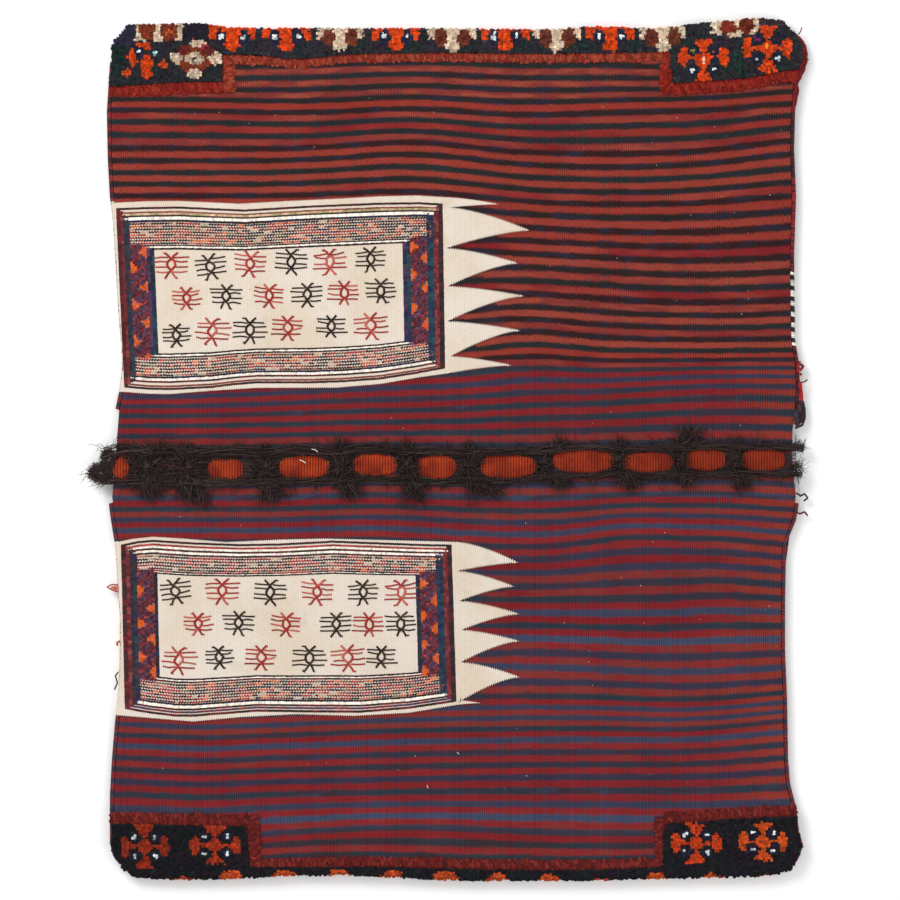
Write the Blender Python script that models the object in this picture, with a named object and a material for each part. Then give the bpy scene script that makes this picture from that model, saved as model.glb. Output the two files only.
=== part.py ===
"""Kilim saddle bag (a pair of joined bags), empty and lying flat with its mouths underneath.

One strip of striped wool cloth is folded at both ends, so that each end makes a bag whose
front lies below and whose back lies above. The bridge between the bags crosses the middle.
Units are metres, +Z is up, the bags lie along Y, and the origin is on the floor below the
middle of the whole. Run with: blender --background --python part.py
"""
import math

import bmesh
import bpy

# The cloth and how it is folded
CLOTH = 0.004
HALF_CLOTH = 0.470
POCKET_GAP = 0.008
FOLD_GAP = 0.002
PILE = 0.0057
TOUCH = 0.0003
TOP_FOLD_Y = 0.590
BOTTOM_FOLD_Y = -0.600
FRONT_RISE_LENGTH = 0.045
FRONT_RAISED_LENGTH = 0.040
BRIDGE_Y = -0.022
MOUTH_SPACING = 0.110

# Stripes of the weave
STRIPE_PAIR = 0.0179
COLUMNS = 7
FOLD_STEPS = 5
RISE_STEPS = 4
UNDERSIDE_STEP = 4

# How far the seams of the two long sides reach beyond the straight cloth: y, then distance
LEFT_SIDE = [
    (-0.604, -0.030), (-0.588, -0.009), (-0.555, 0.004), (-0.490, 0.006), (-0.415, -0.002),
    (-0.320, -0.008), (-0.155, -0.008), (-0.072, 0.006), (0.005, 0.002), (0.047, -0.001),
    (0.121, -0.014), (0.208, -0.007), (0.362, 0.006), (0.471, 0.009), (0.545, 0.005),
    (0.572, -0.001), (0.584, -0.012), (0.598, -0.032),
]
RIGHT_SIDE = [
    (-0.604, -0.008), (-0.587, 0.018), (-0.555, 0.026), (-0.503, 0.018), (-0.450, 0.009),
    (-0.380, 0.007), (-0.282, 0.003), (-0.150, 0.004), (-0.090, 0.020), (-0.072, 0.022),
    (0.005, 0.019), (0.040, 0.022), (0.117, 0.021), (0.166, 0.016), (0.348, 0.019),
    (0.471, 0.017), (0.555, 0.029), (0.588, 0.023), (0.606, -0.008),
]

# Places where the cloth is drawn up or down: x, y, shift along y, reach in x, reach in y
RUCKS = [
    (-0.277, 0.089, -0.022, 0.27, 0.060),
    (-0.053, 0.397, 0.0125, 0.105, 0.085),
    (-0.361, 0.446, 0.007, 0.17, 0.11),
    (0.493, 0.446, 0.018, 0.085, 0.11),
    (0.353, 0.222, -0.010, 0.14, 0.10),
    (0.353, 0.068, -0.010, 0.125, 0.06),
    (0.325, -0.140, 0.016, 0.14, 0.055),
    (0.330, -0.303, -0.013, 0.13, 0.060),
    (-0.277, -0.155, 0.011, 0.26, 0.056),
    (-0.291, -0.359, -0.0125, 0.24, 0.08),
    (0.479, -0.408, 0.0125, 0.07, 0.07),
    (0.479, -0.541, -0.008, 0.085, 0.035),
    (-0.431, -0.548, -0.010, 0.125, 0.05),
    (-0.039, -0.541, 0.005, 0.11, 0.04),
    (0.416, 0.600, 0.014, 0.085, 0.035),
    (-0.375, 0.593, 0.0085, 0.085, 0.035),
    (0.087, -0.600, -0.006, 0.10, 0.035),
]

# Overcast side seams
SEAM_WIDTH = 0.0064
SEAM_HEIGHT = 0.0154
SEAM_CLEARANCE = 0.0007
SEAM_END = 0.016
SEAM_LIFT = 0.0003
SEAM_FLAT = 0.48
SEAM_SHOULDER = 0.34
ROUND_EDGE = 0.003

# Cream panels: left, right at the teeth's roots, top, bottom, then the field's four sides
PANEL_THICK = 0.001
UPPER_PANEL = (-0.464, 0.002, 0.340, 0.106)
UPPER_FIELD = (-0.414, -0.058, 0.278, 0.152)
UPPER_TEETH = 5
LOWER_PANEL = (-0.455, 0.016, -0.138, -0.359)
LOWER_FIELD = (-0.408, -0.041, -0.183, -0.324)
LOWER_TEETH = 5
TOOTH_LENGTH = 0.104
FRAME_WIDTH = 0.004
RAISED_LINE = 0.001
ZIGZAG_TEETH = 7
ZIGZAG_START = 0.005
ZIGZAG_TIP = 0.017
ZIGZAG_HALF = 0.4

# Wrapped figures of the field; heights and widths of their parts as shares of the half sizes
FIGURE_HALF_WIDTH = 0.022
FIGURE_HALF_HEIGHT = 0.019
FIGURE_ROWS = 3
FIGURES_IN_ROW = 6
FIGURE_ROW_SHIFT = 0.020
FIGURE_BODY = 0.22
FIGURE_NECK = 0.15
FIGURE_ARM = 0.40
FIGURE_NECK_HEIGHT = 0.66
FIGURE_CLEFT_HEIGHT = 0.72
FIGURE_LINES = (-0.46, -0.17, 0.17, 0.46)

# Knotted pile over the two folded ends: depths from the fold, and where the patches stop
TOP_BAND_DEPTH = 0.038
TOP_PATCH_DEPTH = 0.0765
TOP_LEFT_PATCH_END = -0.316
TOP_RIGHT_PATCH_START = 0.313
BOTTOM_BAND_DEPTH = 0.012
BOTTOM_PATCH_DEPTH = 0.072
BOTTOM_LEFT_PATCH_END = -0.280
BOTTOM_RIGHT_PATCH_START = 0.304
UNDER_DEPTH = 0.022
STEP_SLANT = 0.003

# Raised flowers of the patches and medallions of the top band
BOSS = 0.0015
FLOWER_RADIUS = 0.019
FLOWER_PETALS = 8
FLOWER_NOTCH = 0.72
FLOWER_SHARES = (0.26, 0.75)
FLOWER_HEIGHT_SHARE = 0.52
MEDALLIONS = 9
MEDALLION_SPACING = 0.0755
MEDALLION_WIDTH = 0.058
MEDALLION_SHOULDER = 0.8
MEDALLION_MARGIN = 0.004

# Wrapped border beside the pile
BORDER_WIDTH = 0.014
BORDER_HEIGHT = 0.003
BORDER_GAP = 0.0005

# Bridge: orange band between two goat-hair cords, held by ten lashings
BAND_RISE = 0.0105
BAND_HALF = 0.014
BAND_PINCH = 0.003
PINCH_REACH = 0.018
BAND_THICK = 0.002
BAND_MARGIN = 0.006
LASH_WIDTH = 0.009
LASH_THICK = 0.0034
LASH_CORNER = 0.003
LASH_SLACK = 0.006
CORD_HALF = 0.006
CORD_HEIGHT = 0.008
CORD_WAIST = 0.25
CORD_STATION = 0.010
CORD_END_REACH = (0.002, 0.006)
KNOB_REACH = 0.014
LASH_PLACES = [-0.420, -0.362, -0.255, -0.151, -0.057, 0.031, 0.133, 0.238, 0.325, 0.402]
RAISED_TUFTS = (6, 8)
TAIL_LEAN = 0.024
TAIL_LENGTH = 0.032
TAIL_DROP = 0.012
TAIL_RADIUS = 0.004
TAIL_SIZES = (0.9, 1.0, 1.0, 0.8, 0.35)

# Colours: base colour, roughness
BRICK = ((0.37, 0.075, 0.045, 1.0), 0.9)
CRIMSON = ((0.33, 0.028, 0.035, 1.0), 0.9)
CHARCOAL = ((0.030, 0.032, 0.045, 1.0), 0.9)
SLATE = ((0.085, 0.10, 0.17, 1.0), 0.9)
CREAM = ((0.83, 0.73, 0.56, 1.0), 0.9)
DARK_BROWN = ((0.030, 0.020, 0.015, 1.0), 0.9)
NAVY_PILE = ((0.022, 0.028, 0.045, 1.0), 0.95)
ORANGE = ((0.72, 0.13, 0.025, 1.0), 0.9)
GOAT_HAIR = ((0.028, 0.021, 0.017, 1.0), 0.7)
SEAM_RED = ((0.22, 0.035, 0.040, 1.0), 0.9)

# Heights that follow from the cloth
RADIUS_IN = FOLD_GAP / 2
RADIUS_MID = RADIUS_IN + CLOTH / 2
FOLD_Z = PILE + TOUCH + CLOTH / 2 + RADIUS_MID
BACK_Z = FOLD_Z + RADIUS_MID
FRONT_Z = BACK_Z - CLOTH - POCKET_GAP
RAISED_Z = FOLD_Z - RADIUS_MID
BACK_TOP = BACK_Z + CLOTH / 2
PILE_TOP = BACK_TOP + TOUCH + PILE
FOLD_OUT = RADIUS_MID + CLOTH / 2 + TOUCH + PILE
SIDE_INSET = SEAM_WIDTH + SEAM_CLEARANCE
UPPER_MOUTH = BRIDGE_Y + MOUTH_SPACING / 2
LOWER_MOUTH = BRIDGE_Y - MOUTH_SPACING / 2


def new_material(name, colour):
    """Make a plain wool material."""
    material = bpy.data.materials.new(name)
    material.use_nodes = True
    shader = material.node_tree.nodes["Principled BSDF"]
    shader.inputs["Base Color"].default_value = colour[0]
    shader.inputs["Roughness"].default_value = colour[1]
    shader.inputs["Metallic"].default_value = 0.0
    return material


def pull_at(x, y):
    """Shift along y of a point of the flat cloth, as the weave is drawn out of line."""
    total = 0.0
    for ruck_x, ruck_y, shift, reach_x, reach_y in RUCKS:
        total += shift * math.exp(-0.5 * ((x - ruck_x) / reach_x) ** 2
                                  - 0.5 * ((y - ruck_y) / reach_y) ** 2)
    return total


def pull(x, y):
    """The same shift, straight between the strip's columns, so that every layer fits it."""
    column = (x + HALF_CLOTH) / (2 * HALF_CLOTH) * COLUMNS
    first = min(max(math.floor(column), 0), COLUMNS - 1)
    share = column - first
    left = pull_at(column_x(first), y)
    right = pull_at(column_x(first + 1), y)
    return left + (right - left) * share


def column_x(index):
    """Where one of the strip's columns of points lies on the straight cloth."""
    return -HALF_CLOTH + 2 * HALF_CLOTH * index / COLUMNS


def along(side, y):
    """Value of an outline at y, straight between its points."""
    if y <= side[0][0]:
        return side[0][1]
    for (y0, x0), (y1, x1) in zip(side, side[1:]):
        if y <= y1:
            return x0 + (x1 - x0) * (y - y0) / (y1 - y0)
    return side[-1][1]


def side_x(side, y):
    """Outer face of the seam on the left (-1) or right (1) side at y."""
    outline = LEFT_SIDE if side < 0 else RIGHT_SIDE
    return side * (HALF_CLOTH + along(outline, y))


def place(x, y):
    """Put a point of the straight cloth (x, y) where the drawn cloth has it.

    Only the outer columns follow the outline of the sides.
    """
    moved_y = y + pull(x, y)
    left_inner = column_x(1)
    right_inner = column_x(COLUMNS - 1)
    if x < left_inner:
        edge = side_x(-1, moved_y) + SIDE_INSET
        share = (x + HALF_CLOTH) / (left_inner + HALF_CLOTH)
        return edge + (left_inner - edge) * share, moved_y
    if x > right_inner:
        edge = side_x(1, moved_y) - SIDE_INSET
        share = (HALF_CLOTH - x) / (HALF_CLOTH - right_inner)
        return edge + (right_inner - edge) * share, moved_y
    return x, moved_y


def add_object(name, bm, materials):
    """Turn a bmesh into a named object with its materials."""
    bmesh.ops.recalc_face_normals(bm, faces=bm.faces)
    mesh = bpy.data.meshes.new(name)
    bm.to_mesh(mesh)
    bm.free()
    for material in materials:
        mesh.materials.append(material)
    obj = bpy.data.objects.new(name, mesh)
    bpy.context.scene.collection.objects.link(obj)
    return obj


def sheet_solid(bm, outer, inner, keep, row_material):
    """Closed sheet between a fine outer grid and a coarser inner one with the same columns.

    keep[i] is the outer row that inner row i lies under.
    """
    top = [[bm.verts.new(p) for p in row] for row in outer]
    low = [[bm.verts.new(p) for p in row] for row in inner]
    last = len(top[0]) - 1
    for r in range(len(top) - 1):
        for c in range(last):
            face = bm.faces.new((top[r][c], top[r][c + 1], top[r + 1][c + 1], top[r + 1][c]))
            face.material_index = row_material(r)
    for r in range(len(low) - 1):
        for c in range(last):
            bm.faces.new((low[r][c + 1], low[r][c], low[r + 1][c], low[r + 1][c + 1]))
    for r, end in ((0, False), (-1, True)):
        for c in range(last):
            quad = [top[r][c], top[r][c + 1], low[r][c + 1], low[r][c]]
            bm.faces.new(quad if end else quad[::-1])
    for i in range(len(low) - 1):
        first_row, end_row = keep[i], keep[i + 1]
        middle = (first_row + end_row + 1) // 2
        for c, flip in ((0, False), (last, True)):
            for r in range(first_row, end_row):
                corner = low[i][c] if r < middle else low[i + 1][c]
                tri = [corner, top[r][c], top[r + 1][c]]
                bm.faces.new(tri[::-1] if flip else tri)
            tri = [low[i][c], top[middle][c], low[i + 1][c]]
            bm.faces.new(tri[::-1] if flip else tri)


def fold_path(end, reach_under, back_rows, out, rows_under):
    """Section of one folded end, from under the front, round the fold, to the back.

    end is +1 for the far fold and -1 for the near one. Each item is (y, z) on the surface
    that lies out metres from the middle of the cloth.
    """
    edge = TOP_FOLD_Y if end > 0 else BOTTOM_FOLD_Y
    centre = edge - end * FOLD_OUT
    points = [(centre - end * reach_under * (1 - i / rows_under), RAISED_Z - out)
              for i in range(rows_under)]
    for i in range(FOLD_STEPS + 1):
        angle = -math.pi / 2 + math.pi * i / FOLD_STEPS
        radius = RADIUS_MID + out
        points.append((centre + end * radius * math.cos(angle), FOLD_Z + radius * math.sin(angle)))
    points += [(y, BACK_Z + out) for y in back_rows]
    return points


def stripe_edges(start, stop):
    """Rows at the edges of the stripes between two places, both ends included."""
    count = max(1, round(abs(stop - start) / (STRIPE_PAIR / 2)))
    return [start + (stop - start) * i / count for i in range(count + 1)]


def strip_section(out):
    """Whole section of the strip: (y, z) from the lower bag's mouth to the upper bag's."""
    half_a = front_section(-1, out)
    half_b = front_section(1, out)
    bottom_centre = BOTTOM_FOLD_Y + FOLD_OUT
    top_centre = TOP_FOLD_Y - FOLD_OUT
    back = stripe_edges(bottom_centre, top_centre)[1:-1]
    return half_a + [(y, BACK_Z + out) for y in back] + half_b[::-1]


def front_section(end, out):
    """Front of one bag from its mouth, up over the raised end and round the fold."""
    mouth = UPPER_MOUTH if end > 0 else LOWER_MOUTH
    centre = (TOP_FOLD_Y - FOLD_OUT) if end > 0 else (BOTTOM_FOLD_Y + FOLD_OUT)
    rise_end = centre - end * FRONT_RAISED_LENGTH
    rise_start = rise_end - end * FRONT_RISE_LENGTH
    points = [(y, FRONT_Z - out) for y in stripe_edges(mouth, rise_start)]
    for i in range(1, RISE_STEPS + 1):
        share = i / RISE_STEPS
        ease = share * share * (3 - 2 * share)
        points.append((rise_start + (rise_end - rise_start) * share,
                       FRONT_Z + (RAISED_Z - FRONT_Z) * ease - out))
    points += fold_path(end, FRONT_RAISED_LENGTH, [], out, 4)[1:]
    return points


def build_strip():
    """The one long woven strip that makes both bags and the bridge."""
    outer_path = strip_section(CLOTH / 2)
    inner_path = strip_section(-CLOTH / 2)
    count = len(outer_path)
    keep = []
    for i in range(count):
        bend = abs(outer_path[i][1] - FRONT_Z + CLOTH / 2) > 0.0001
        flat_back = abs(outer_path[i][1] - BACK_TOP) < 0.0001
        if i in (0, count - 1) or (bend and not flat_back) or i % UNDERSIDE_STEP == 0:
            keep.append(i)
    columns = [column_x(c) for c in range(COLUMNS + 1)]

    def rows(path, inset):
        grid = []
        for y, z in path:
            row = []
            for c, x in enumerate(columns):
                edge = inset if c in (0, COLUMNS) else 0.0
                px, py = place(x, y)
                px += edge if c == 0 else -edge
                row.append((px, py, z))
            grid.append(row)
        return grid

    bm = bmesh.new()

    def stripe(r):
        y = (outer_path[r][0] + outer_path[r + 1][0]) / 2
        batch = 0 if y > 0.10 or y < -0.48 else 2
        return batch + r % 2

    sheet_solid(bm, rows(outer_path, 0.0), rows([inner_path[i] for i in keep], ROUND_EDGE),
                keep, stripe)
    materials = [new_material("wool_brick_red", BRICK), new_material("wool_charcoal", CHARCOAL),
                 new_material("wool_crimson", CRIMSON), new_material("wool_slate_blue", SLATE)]
    return add_object("kilim_strip", bm, materials)


def prism(bm, outline, low, high, moved=True):
    """Upright prism on an outline of (x, y) points of the straight cloth."""
    ring = [place(x, y) if moved else (x, y) for x, y in outline]
    bottom = [bm.verts.new((x, y, low)) for x, y in ring]
    top = [bm.verts.new((x, y, high)) for x, y in ring]
    count = len(ring)
    faces = [bm.faces.new(bottom[::-1]), bm.faces.new(top)]
    for i in range(count):
        j = (i + 1) % count
        faces.append(bm.faces.new((bottom[i], bottom[j], top[j], top[i])))
    return faces


def join_by_union(base, bm, name, materials):
    """Fuse the bodies in a bmesh to a base object."""
    tool = add_object(name, bm, materials)
    tool.hide_render = True
    tool.display_type = "WIRE"
    modifier = base.modifiers.new(name, "BOOLEAN")
    modifier.operation = "UNION"
    modifier.solver = "EXACT"
    modifier.use_self = True
    modifier.object = tool


def stroke(bm, start, end, width, low, high):
    """Straight raised line between two points of the straight cloth."""
    dx = end[0] - start[0]
    dy = end[1] - start[1]
    length = math.hypot(dx, dy)
    nx = -dy / length * width / 2
    ny = dx / length * width / 2
    outline = [(start[0] + nx, start[1] + ny), (start[0] - nx, start[1] - ny),
               (end[0] - nx, end[1] - ny), (end[0] + nx, end[1] + ny)]
    prism(bm, outline, low, high)


def figure(bm, x, y, low, high):
    """Small wrapped figure: a slim body with crossed ends and four lines to each side."""
    body = FIGURE_HALF_WIDTH * FIGURE_BODY
    neck = FIGURE_HALF_WIDTH * FIGURE_NECK
    arm = FIGURE_HALF_WIDTH * FIGURE_ARM
    right = [(arm, -1.0), (neck, -FIGURE_NECK_HEIGHT)]
    for i, share in enumerate(FIGURE_LINES):
        right.append((FIGURE_HALF_WIDTH, share))
        if i < len(FIGURE_LINES) - 1:
            right.append((body, (share + FIGURE_LINES[i + 1]) / 2))
    right += [(neck, FIGURE_NECK_HEIGHT), (arm, 1.0)]
    left = [(-dx, share) for dx, share in reversed(right)]
    shape = right + [(0.0, FIGURE_CLEFT_HEIGHT)] + left + [(0.0, -FIGURE_CLEFT_HEIGHT)]
    prism(bm, [(x + dx, y + share * FIGURE_HALF_HEIGHT) for dx, share in shape], low, high)


def build_panel(name, panel, field, teeth):
    """Cream panel with a toothed right side, a framed field and rows of wrapped figures."""
    left, right, top, bottom = panel
    field_left, field_right, field_top, field_bottom = field
    low = BACK_TOP + TOUCH
    high = low + PANEL_THICK
    outline = []
    for i in range(6):
        outline.append((left + (right - left) * i / 5, bottom))
    pitch = (top - bottom) / teeth
    for i in range(teeth):
        outline.append((right + TOOTH_LENGTH, bottom + pitch * (i + 0.5)))
        outline.append((right, bottom + pitch * (i + 1)))
    for i in range(4, -1, -1):
        outline.append((left + (right - left) * i / 5, top))
    bm = bmesh.new()
    prism(bm, outline, low, high)
    panel_object = add_object(name, bm, [new_material("wool_cream_" + name, CREAM)])

    lines = bmesh.new()
    line_top = high + RAISED_LINE
    sink = high - PANEL_THICK / 2
    for x in (field_left, field_right):
        stroke(lines, (x, field_bottom), (x, field_top), FRAME_WIDTH, sink, line_top)
    for y in (field_bottom, field_top):
        stroke(lines, (field_left, y), (field_right, y), FRAME_WIDTH, sink, line_top)
    for x, side in ((field_left, -1), (field_right, 1)):
        for i in range(ZIGZAG_TEETH):
            y = field_bottom + (field_top - field_bottom) * (i + 0.5) / ZIGZAG_TEETH
            half = (field_top - field_bottom) / ZIGZAG_TEETH * ZIGZAG_HALF
            start = x + side * ZIGZAG_START
            tip = x + side * ZIGZAG_TIP
            corners = [(start, y - half), (tip, y), (start, y + half)]
            prism(lines, corners if side > 0 else corners[::-1], sink, line_top)
    row_pitch = (field_top - field_bottom) / FIGURE_ROWS
    pitch_x = (field_right - field_left - FIGURE_ROW_SHIFT) / FIGURES_IN_ROW
    for row in range(FIGURE_ROWS):
        y = field_top - row_pitch * (row + 0.5)
        shift = FIGURE_ROW_SHIFT * (row % 2)
        for i in range(FIGURES_IN_ROW):
            figure(lines, field_left + shift + pitch_x * (i + 0.5), y, sink, line_top)
    join_by_union(panel_object, lines, name + "_raised_lines",
                  [new_material("wool_lines_" + name, DARK_BROWN)])
    return panel_object


def pile_sizes(end):
    """Depth in the middle and at the patches, left patch's end and right patch's start."""
    if end > 0:
        return TOP_BAND_DEPTH, TOP_PATCH_DEPTH, TOP_LEFT_PATCH_END, TOP_RIGHT_PATCH_START
    return (BOTTOM_BAND_DEPTH, BOTTOM_PATCH_DEPTH, BOTTOM_LEFT_PATCH_END,
            BOTTOM_RIGHT_PATCH_START)


def step_side(end, x):
    """1 at the step of the left patch, -1 at that of the right one, and 0 elsewhere."""
    left_end, right_start = pile_sizes(end)[2:]
    if left_end <= x <= left_end + STEP_SLANT:
        return 1
    if right_start - STEP_SLANT <= x <= right_start:
        return -1
    return 0


def pile_stations(end):
    """Columns of the pile and how far the pile reaches there: x, y of its inner edge."""
    edge = TOP_FOLD_Y if end > 0 else BOTTOM_FOLD_Y
    middle, patch, left_end, right_start = pile_sizes(end)
    deep = edge - end * patch
    shallow = edge - end * middle
    left_step = left_end + STEP_SLANT
    right_step = right_start - STEP_SLANT
    columns = [column_x(c) for c in range(COLUMNS + 1)]
    stations = [(x, deep) for x in columns if x < left_end]
    stations += [(left_end, deep), (left_step, shallow)]
    stations += [(x, shallow) for x in columns if left_step < x < right_step]
    stations += [(right_step, shallow), (right_start, deep)]
    stations += [(x, deep) for x in columns if x > right_start]
    return stations


def build_pile(name, end):
    """Knotted pile that wraps one folded end, with deeper patches at the corners."""
    stations = pile_stations(end)
    edge = TOP_FOLD_Y if end > 0 else BOTTOM_FOLD_Y
    centre = edge - end * FOLD_OUT
    back_steps = 2

    def grid(out, inset):
        columns = []
        for c, (x, reach) in enumerate(stations):
            back = [centre + (reach - centre) * (i + 1) / back_steps for i in range(back_steps)]
            path = fold_path(end, UNDER_DEPTH, back, out, 1)
            column = []
            for y, z in path:
                px, py = place(x, y)
                if c == 0:
                    px += inset
                if c == len(stations) - 1:
                    px -= inset
                column.append((px, py, z))
            columns.append(column)
        return [list(row) for row in zip(*columns)]

    outer = grid(CLOTH / 2 + TOUCH + PILE, ROUND_EDGE)
    inner = grid(CLOTH / 2 + TOUCH, 0.0)
    bm = bmesh.new()
    sheet_solid(bm, outer, inner, list(range(len(outer))), lambda r: 0)
    pile = add_object(name, bm, [new_material("pile_navy_" + name, NAVY_PILE)])

    patch, left_end, right_start = pile_sizes(end)[1:]
    raised = bmesh.new()
    low = PILE_TOP - PILE / 2
    high = PILE_TOP + BOSS
    flower_y = centre - end * (patch - FOLD_OUT) * FLOWER_HEIGHT_SHARE
    for start, stop in ((-HALF_CLOTH, left_end), (right_start, HALF_CLOTH)):
        for share in FLOWER_SHARES:
            x = start + (stop - start) * share
            outline = []
            for i in range(2 * FLOWER_PETALS):
                radius = FLOWER_RADIUS * (1.0 if i % 2 == 0 else FLOWER_NOTCH)
                angle = math.pi * i / FLOWER_PETALS
                outline.append((x + radius * math.cos(angle), flower_y + radius * math.sin(angle)))
            prism(raised, outline, low, high)
    if end > 0:
        half = MEDALLION_WIDTH / 2
        near = centre - MEDALLION_MARGIN / 2
        far = TOP_FOLD_Y - TOP_BAND_DEPTH + MEDALLION_MARGIN
        for i in range(MEDALLIONS):
            x = (i - (MEDALLIONS - 1) / 2) * MEDALLION_SPACING
            shoulder = half * MEDALLION_SHOULDER
            outline = [(x - half, near), (x + half, near), (x + shoulder, (near + far) / 2),
                       (x, far), (x - shoulder, (near + far) / 2)]
            prism(raised, outline, low, high)
    join_by_union(pile, raised, name + "_flowers", [new_material("pile_orange_" + name, ORANGE)])
    return pile


def build_border(name, end):
    """Red wrapped border that follows the inner edge of the pile, up and down its steps."""
    inner = []
    outer = []
    for x, y in pile_stations(end):
        side = step_side(end, x)
        inner.append((x + side * BORDER_GAP, y - end * BORDER_GAP))
        outer.append((x + side * BORDER_WIDTH, y - end * BORDER_WIDTH))
    low = BACK_TOP + TOUCH
    bm = bmesh.new()
    outline = inner + outer[::-1]
    prism(bm, outline, low, low + BORDER_HEIGHT)
    return add_object(name, bm, [new_material("wool_red_" + name, BRICK)])


def band_line(x, offset):
    """A line along the bridge's band, which climbs a little to the right."""
    return BRIDGE_Y - 0.0015 + BAND_RISE * x / (2 * HALF_CLOTH) + offset


def nearness(x):
    """1 beside a lashing, falling to 0 half-way to the next one."""
    nearest = min(abs(x - place_x) for place_x in LASH_PLACES)
    return math.exp(-((nearest / PINCH_REACH) ** 2))


def band_stations(start, stop):
    """Places along the bridge where the band and cords get a row of points."""
    stations = [start, stop]
    for i, x in enumerate(LASH_PLACES):
        stations += [x - CORD_STATION, x + CORD_STATION]
        if i:
            stations.append((x + LASH_PLACES[i - 1]) / 2)
    return sorted(s for s in stations if start <= s <= stop)


def build_band():
    """Orange band of slit tapestry along the bridge, drawn in at each lashing."""
    start = side_x(-1, BRIDGE_Y) + SIDE_INSET + BAND_MARGIN
    stop = side_x(1, BRIDGE_Y) - SIDE_INSET - BAND_MARGIN
    stations = band_stations(start, stop)
    half = [BAND_HALF - BAND_PINCH * nearness(x) for x in stations]
    lower = [(x, band_line(x, -h)) for x, h in zip(stations, half)]
    upper = [(x, band_line(x, h)) for x, h in zip(stations, half)]
    bm = bmesh.new()
    low = BACK_TOP + TOUCH
    prism(bm, lower + upper[::-1], low, low + BAND_THICK, moved=False)
    return add_object("orange_bridge_band", bm, [new_material("wool_orange", ORANGE)])


def tube(bm, points, radii, sides, closed=False):
    """Closed skin along a path; radii holds (across, upright) at each point."""
    count = len(points)
    rings = []
    for i, (x, y, z) in enumerate(points):
        if closed:
            before, after = points[i - 1], points[(i + 1) % count]
        else:
            before, after = points[max(i - 1, 0)], points[min(i + 1, count - 1)]
        dx, dy, dz = (after[k] - before[k] for k in range(3))
        length = math.sqrt(dx * dx + dy * dy + dz * dz)
        dx, dy, dz = dx / length, dy / length, dz / length
        flat = math.hypot(dx, dy)
        if closed or flat < 0.3:
            side = (1.0, 0.0, 0.0)
        else:
            side = (-dy / flat, dx / flat, 0.0)
        up = (dy * side[2] - dz * side[1], dz * side[0] - dx * side[2], dx * side[1] - dy * side[0])
        ring = []
        for k in range(sides):
            angle = 2 * math.pi * (k + 0.5) / sides
            a = radii[i][0] * math.cos(angle)
            b = radii[i][1] * math.sin(angle)
            ring.append(bm.verts.new((x + side[0] * a + up[0] * b, y + side[1] * a + up[1] * b,
                                      z + side[2] * a + up[2] * b)))
        rings.append(ring)
    spans = count if closed else count - 1
    for i in range(spans):
        one, two = rings[i], rings[(i + 1) % count]
        for k in range(sides):
            n = (k + 1) % sides
            bm.faces.new((one[k], one[n], two[n], two[k]))
    if not closed:
        bm.faces.new(rings[0][::-1])
        bm.faces.new(rings[-1])


def build_goat_cord(name, side):
    """Thick goat-hair cord along one edge of the orange band."""
    start = side_x(-1, BRIDGE_Y) + CORD_END_REACH[0]
    stop = side_x(1, BRIDGE_Y) + CORD_END_REACH[1]
    leg_room = LASH_THICK + 2 * TOUCH
    offset = side * (BAND_HALF + leg_room + TOUCH + CORD_HALF)
    points = []
    radii = []
    height = CORD_HEIGHT / 2
    if side < 0:
        knob_x = start - KNOB_REACH
        points += [(knob_x, band_line(start, offset * 0.7), BACK_TOP + TOUCH + height),
                   (knob_x + KNOB_REACH * 0.5, band_line(start, offset * 0.8),
                    BACK_TOP + TOUCH + height)]
        radii += [(CORD_HALF * 0.8, height * 0.9), (CORD_HALF * 0.95, height)]
    for x in band_stations(start, stop):
        points.append((x, band_line(x, offset), BACK_TOP + TOUCH + height))
        size = 1.0 - CORD_WAIST * (1 - nearness(x))
        radii.append((CORD_HALF * size, height))
    radii[-1] = (CORD_HALF * 0.4, height * 0.5)
    bm = bmesh.new()
    tube(bm, points, radii, 6)
    return add_object(name, bm, [new_material("goat_hair_" + name, GOAT_HAIR)])


def lash_ring(x):
    """Path of one lashing: over the band, down through the bridge, and slack beneath it."""
    middle = band_line(x, 0.0)
    over = BACK_TOP + TOUCH + BAND_THICK + TOUCH + LASH_THICK / 2
    leg = BAND_HALF + TOUCH + LASH_THICK / 2
    under = BACK_TOP - CLOTH
    slack = LASH_SLACK
    shape = [(leg - LASH_CORNER, over), (leg, over - LASH_THICK / 2), (leg, under - slack / 2),
             (leg + slack, under - slack), (leg, FRONT_Z + 0.001)]
    path = [(x, middle + dy, z) for dy, z in shape]
    path += [(x, middle - dy, z) for dy, z in reversed(shape)]
    return path


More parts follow.
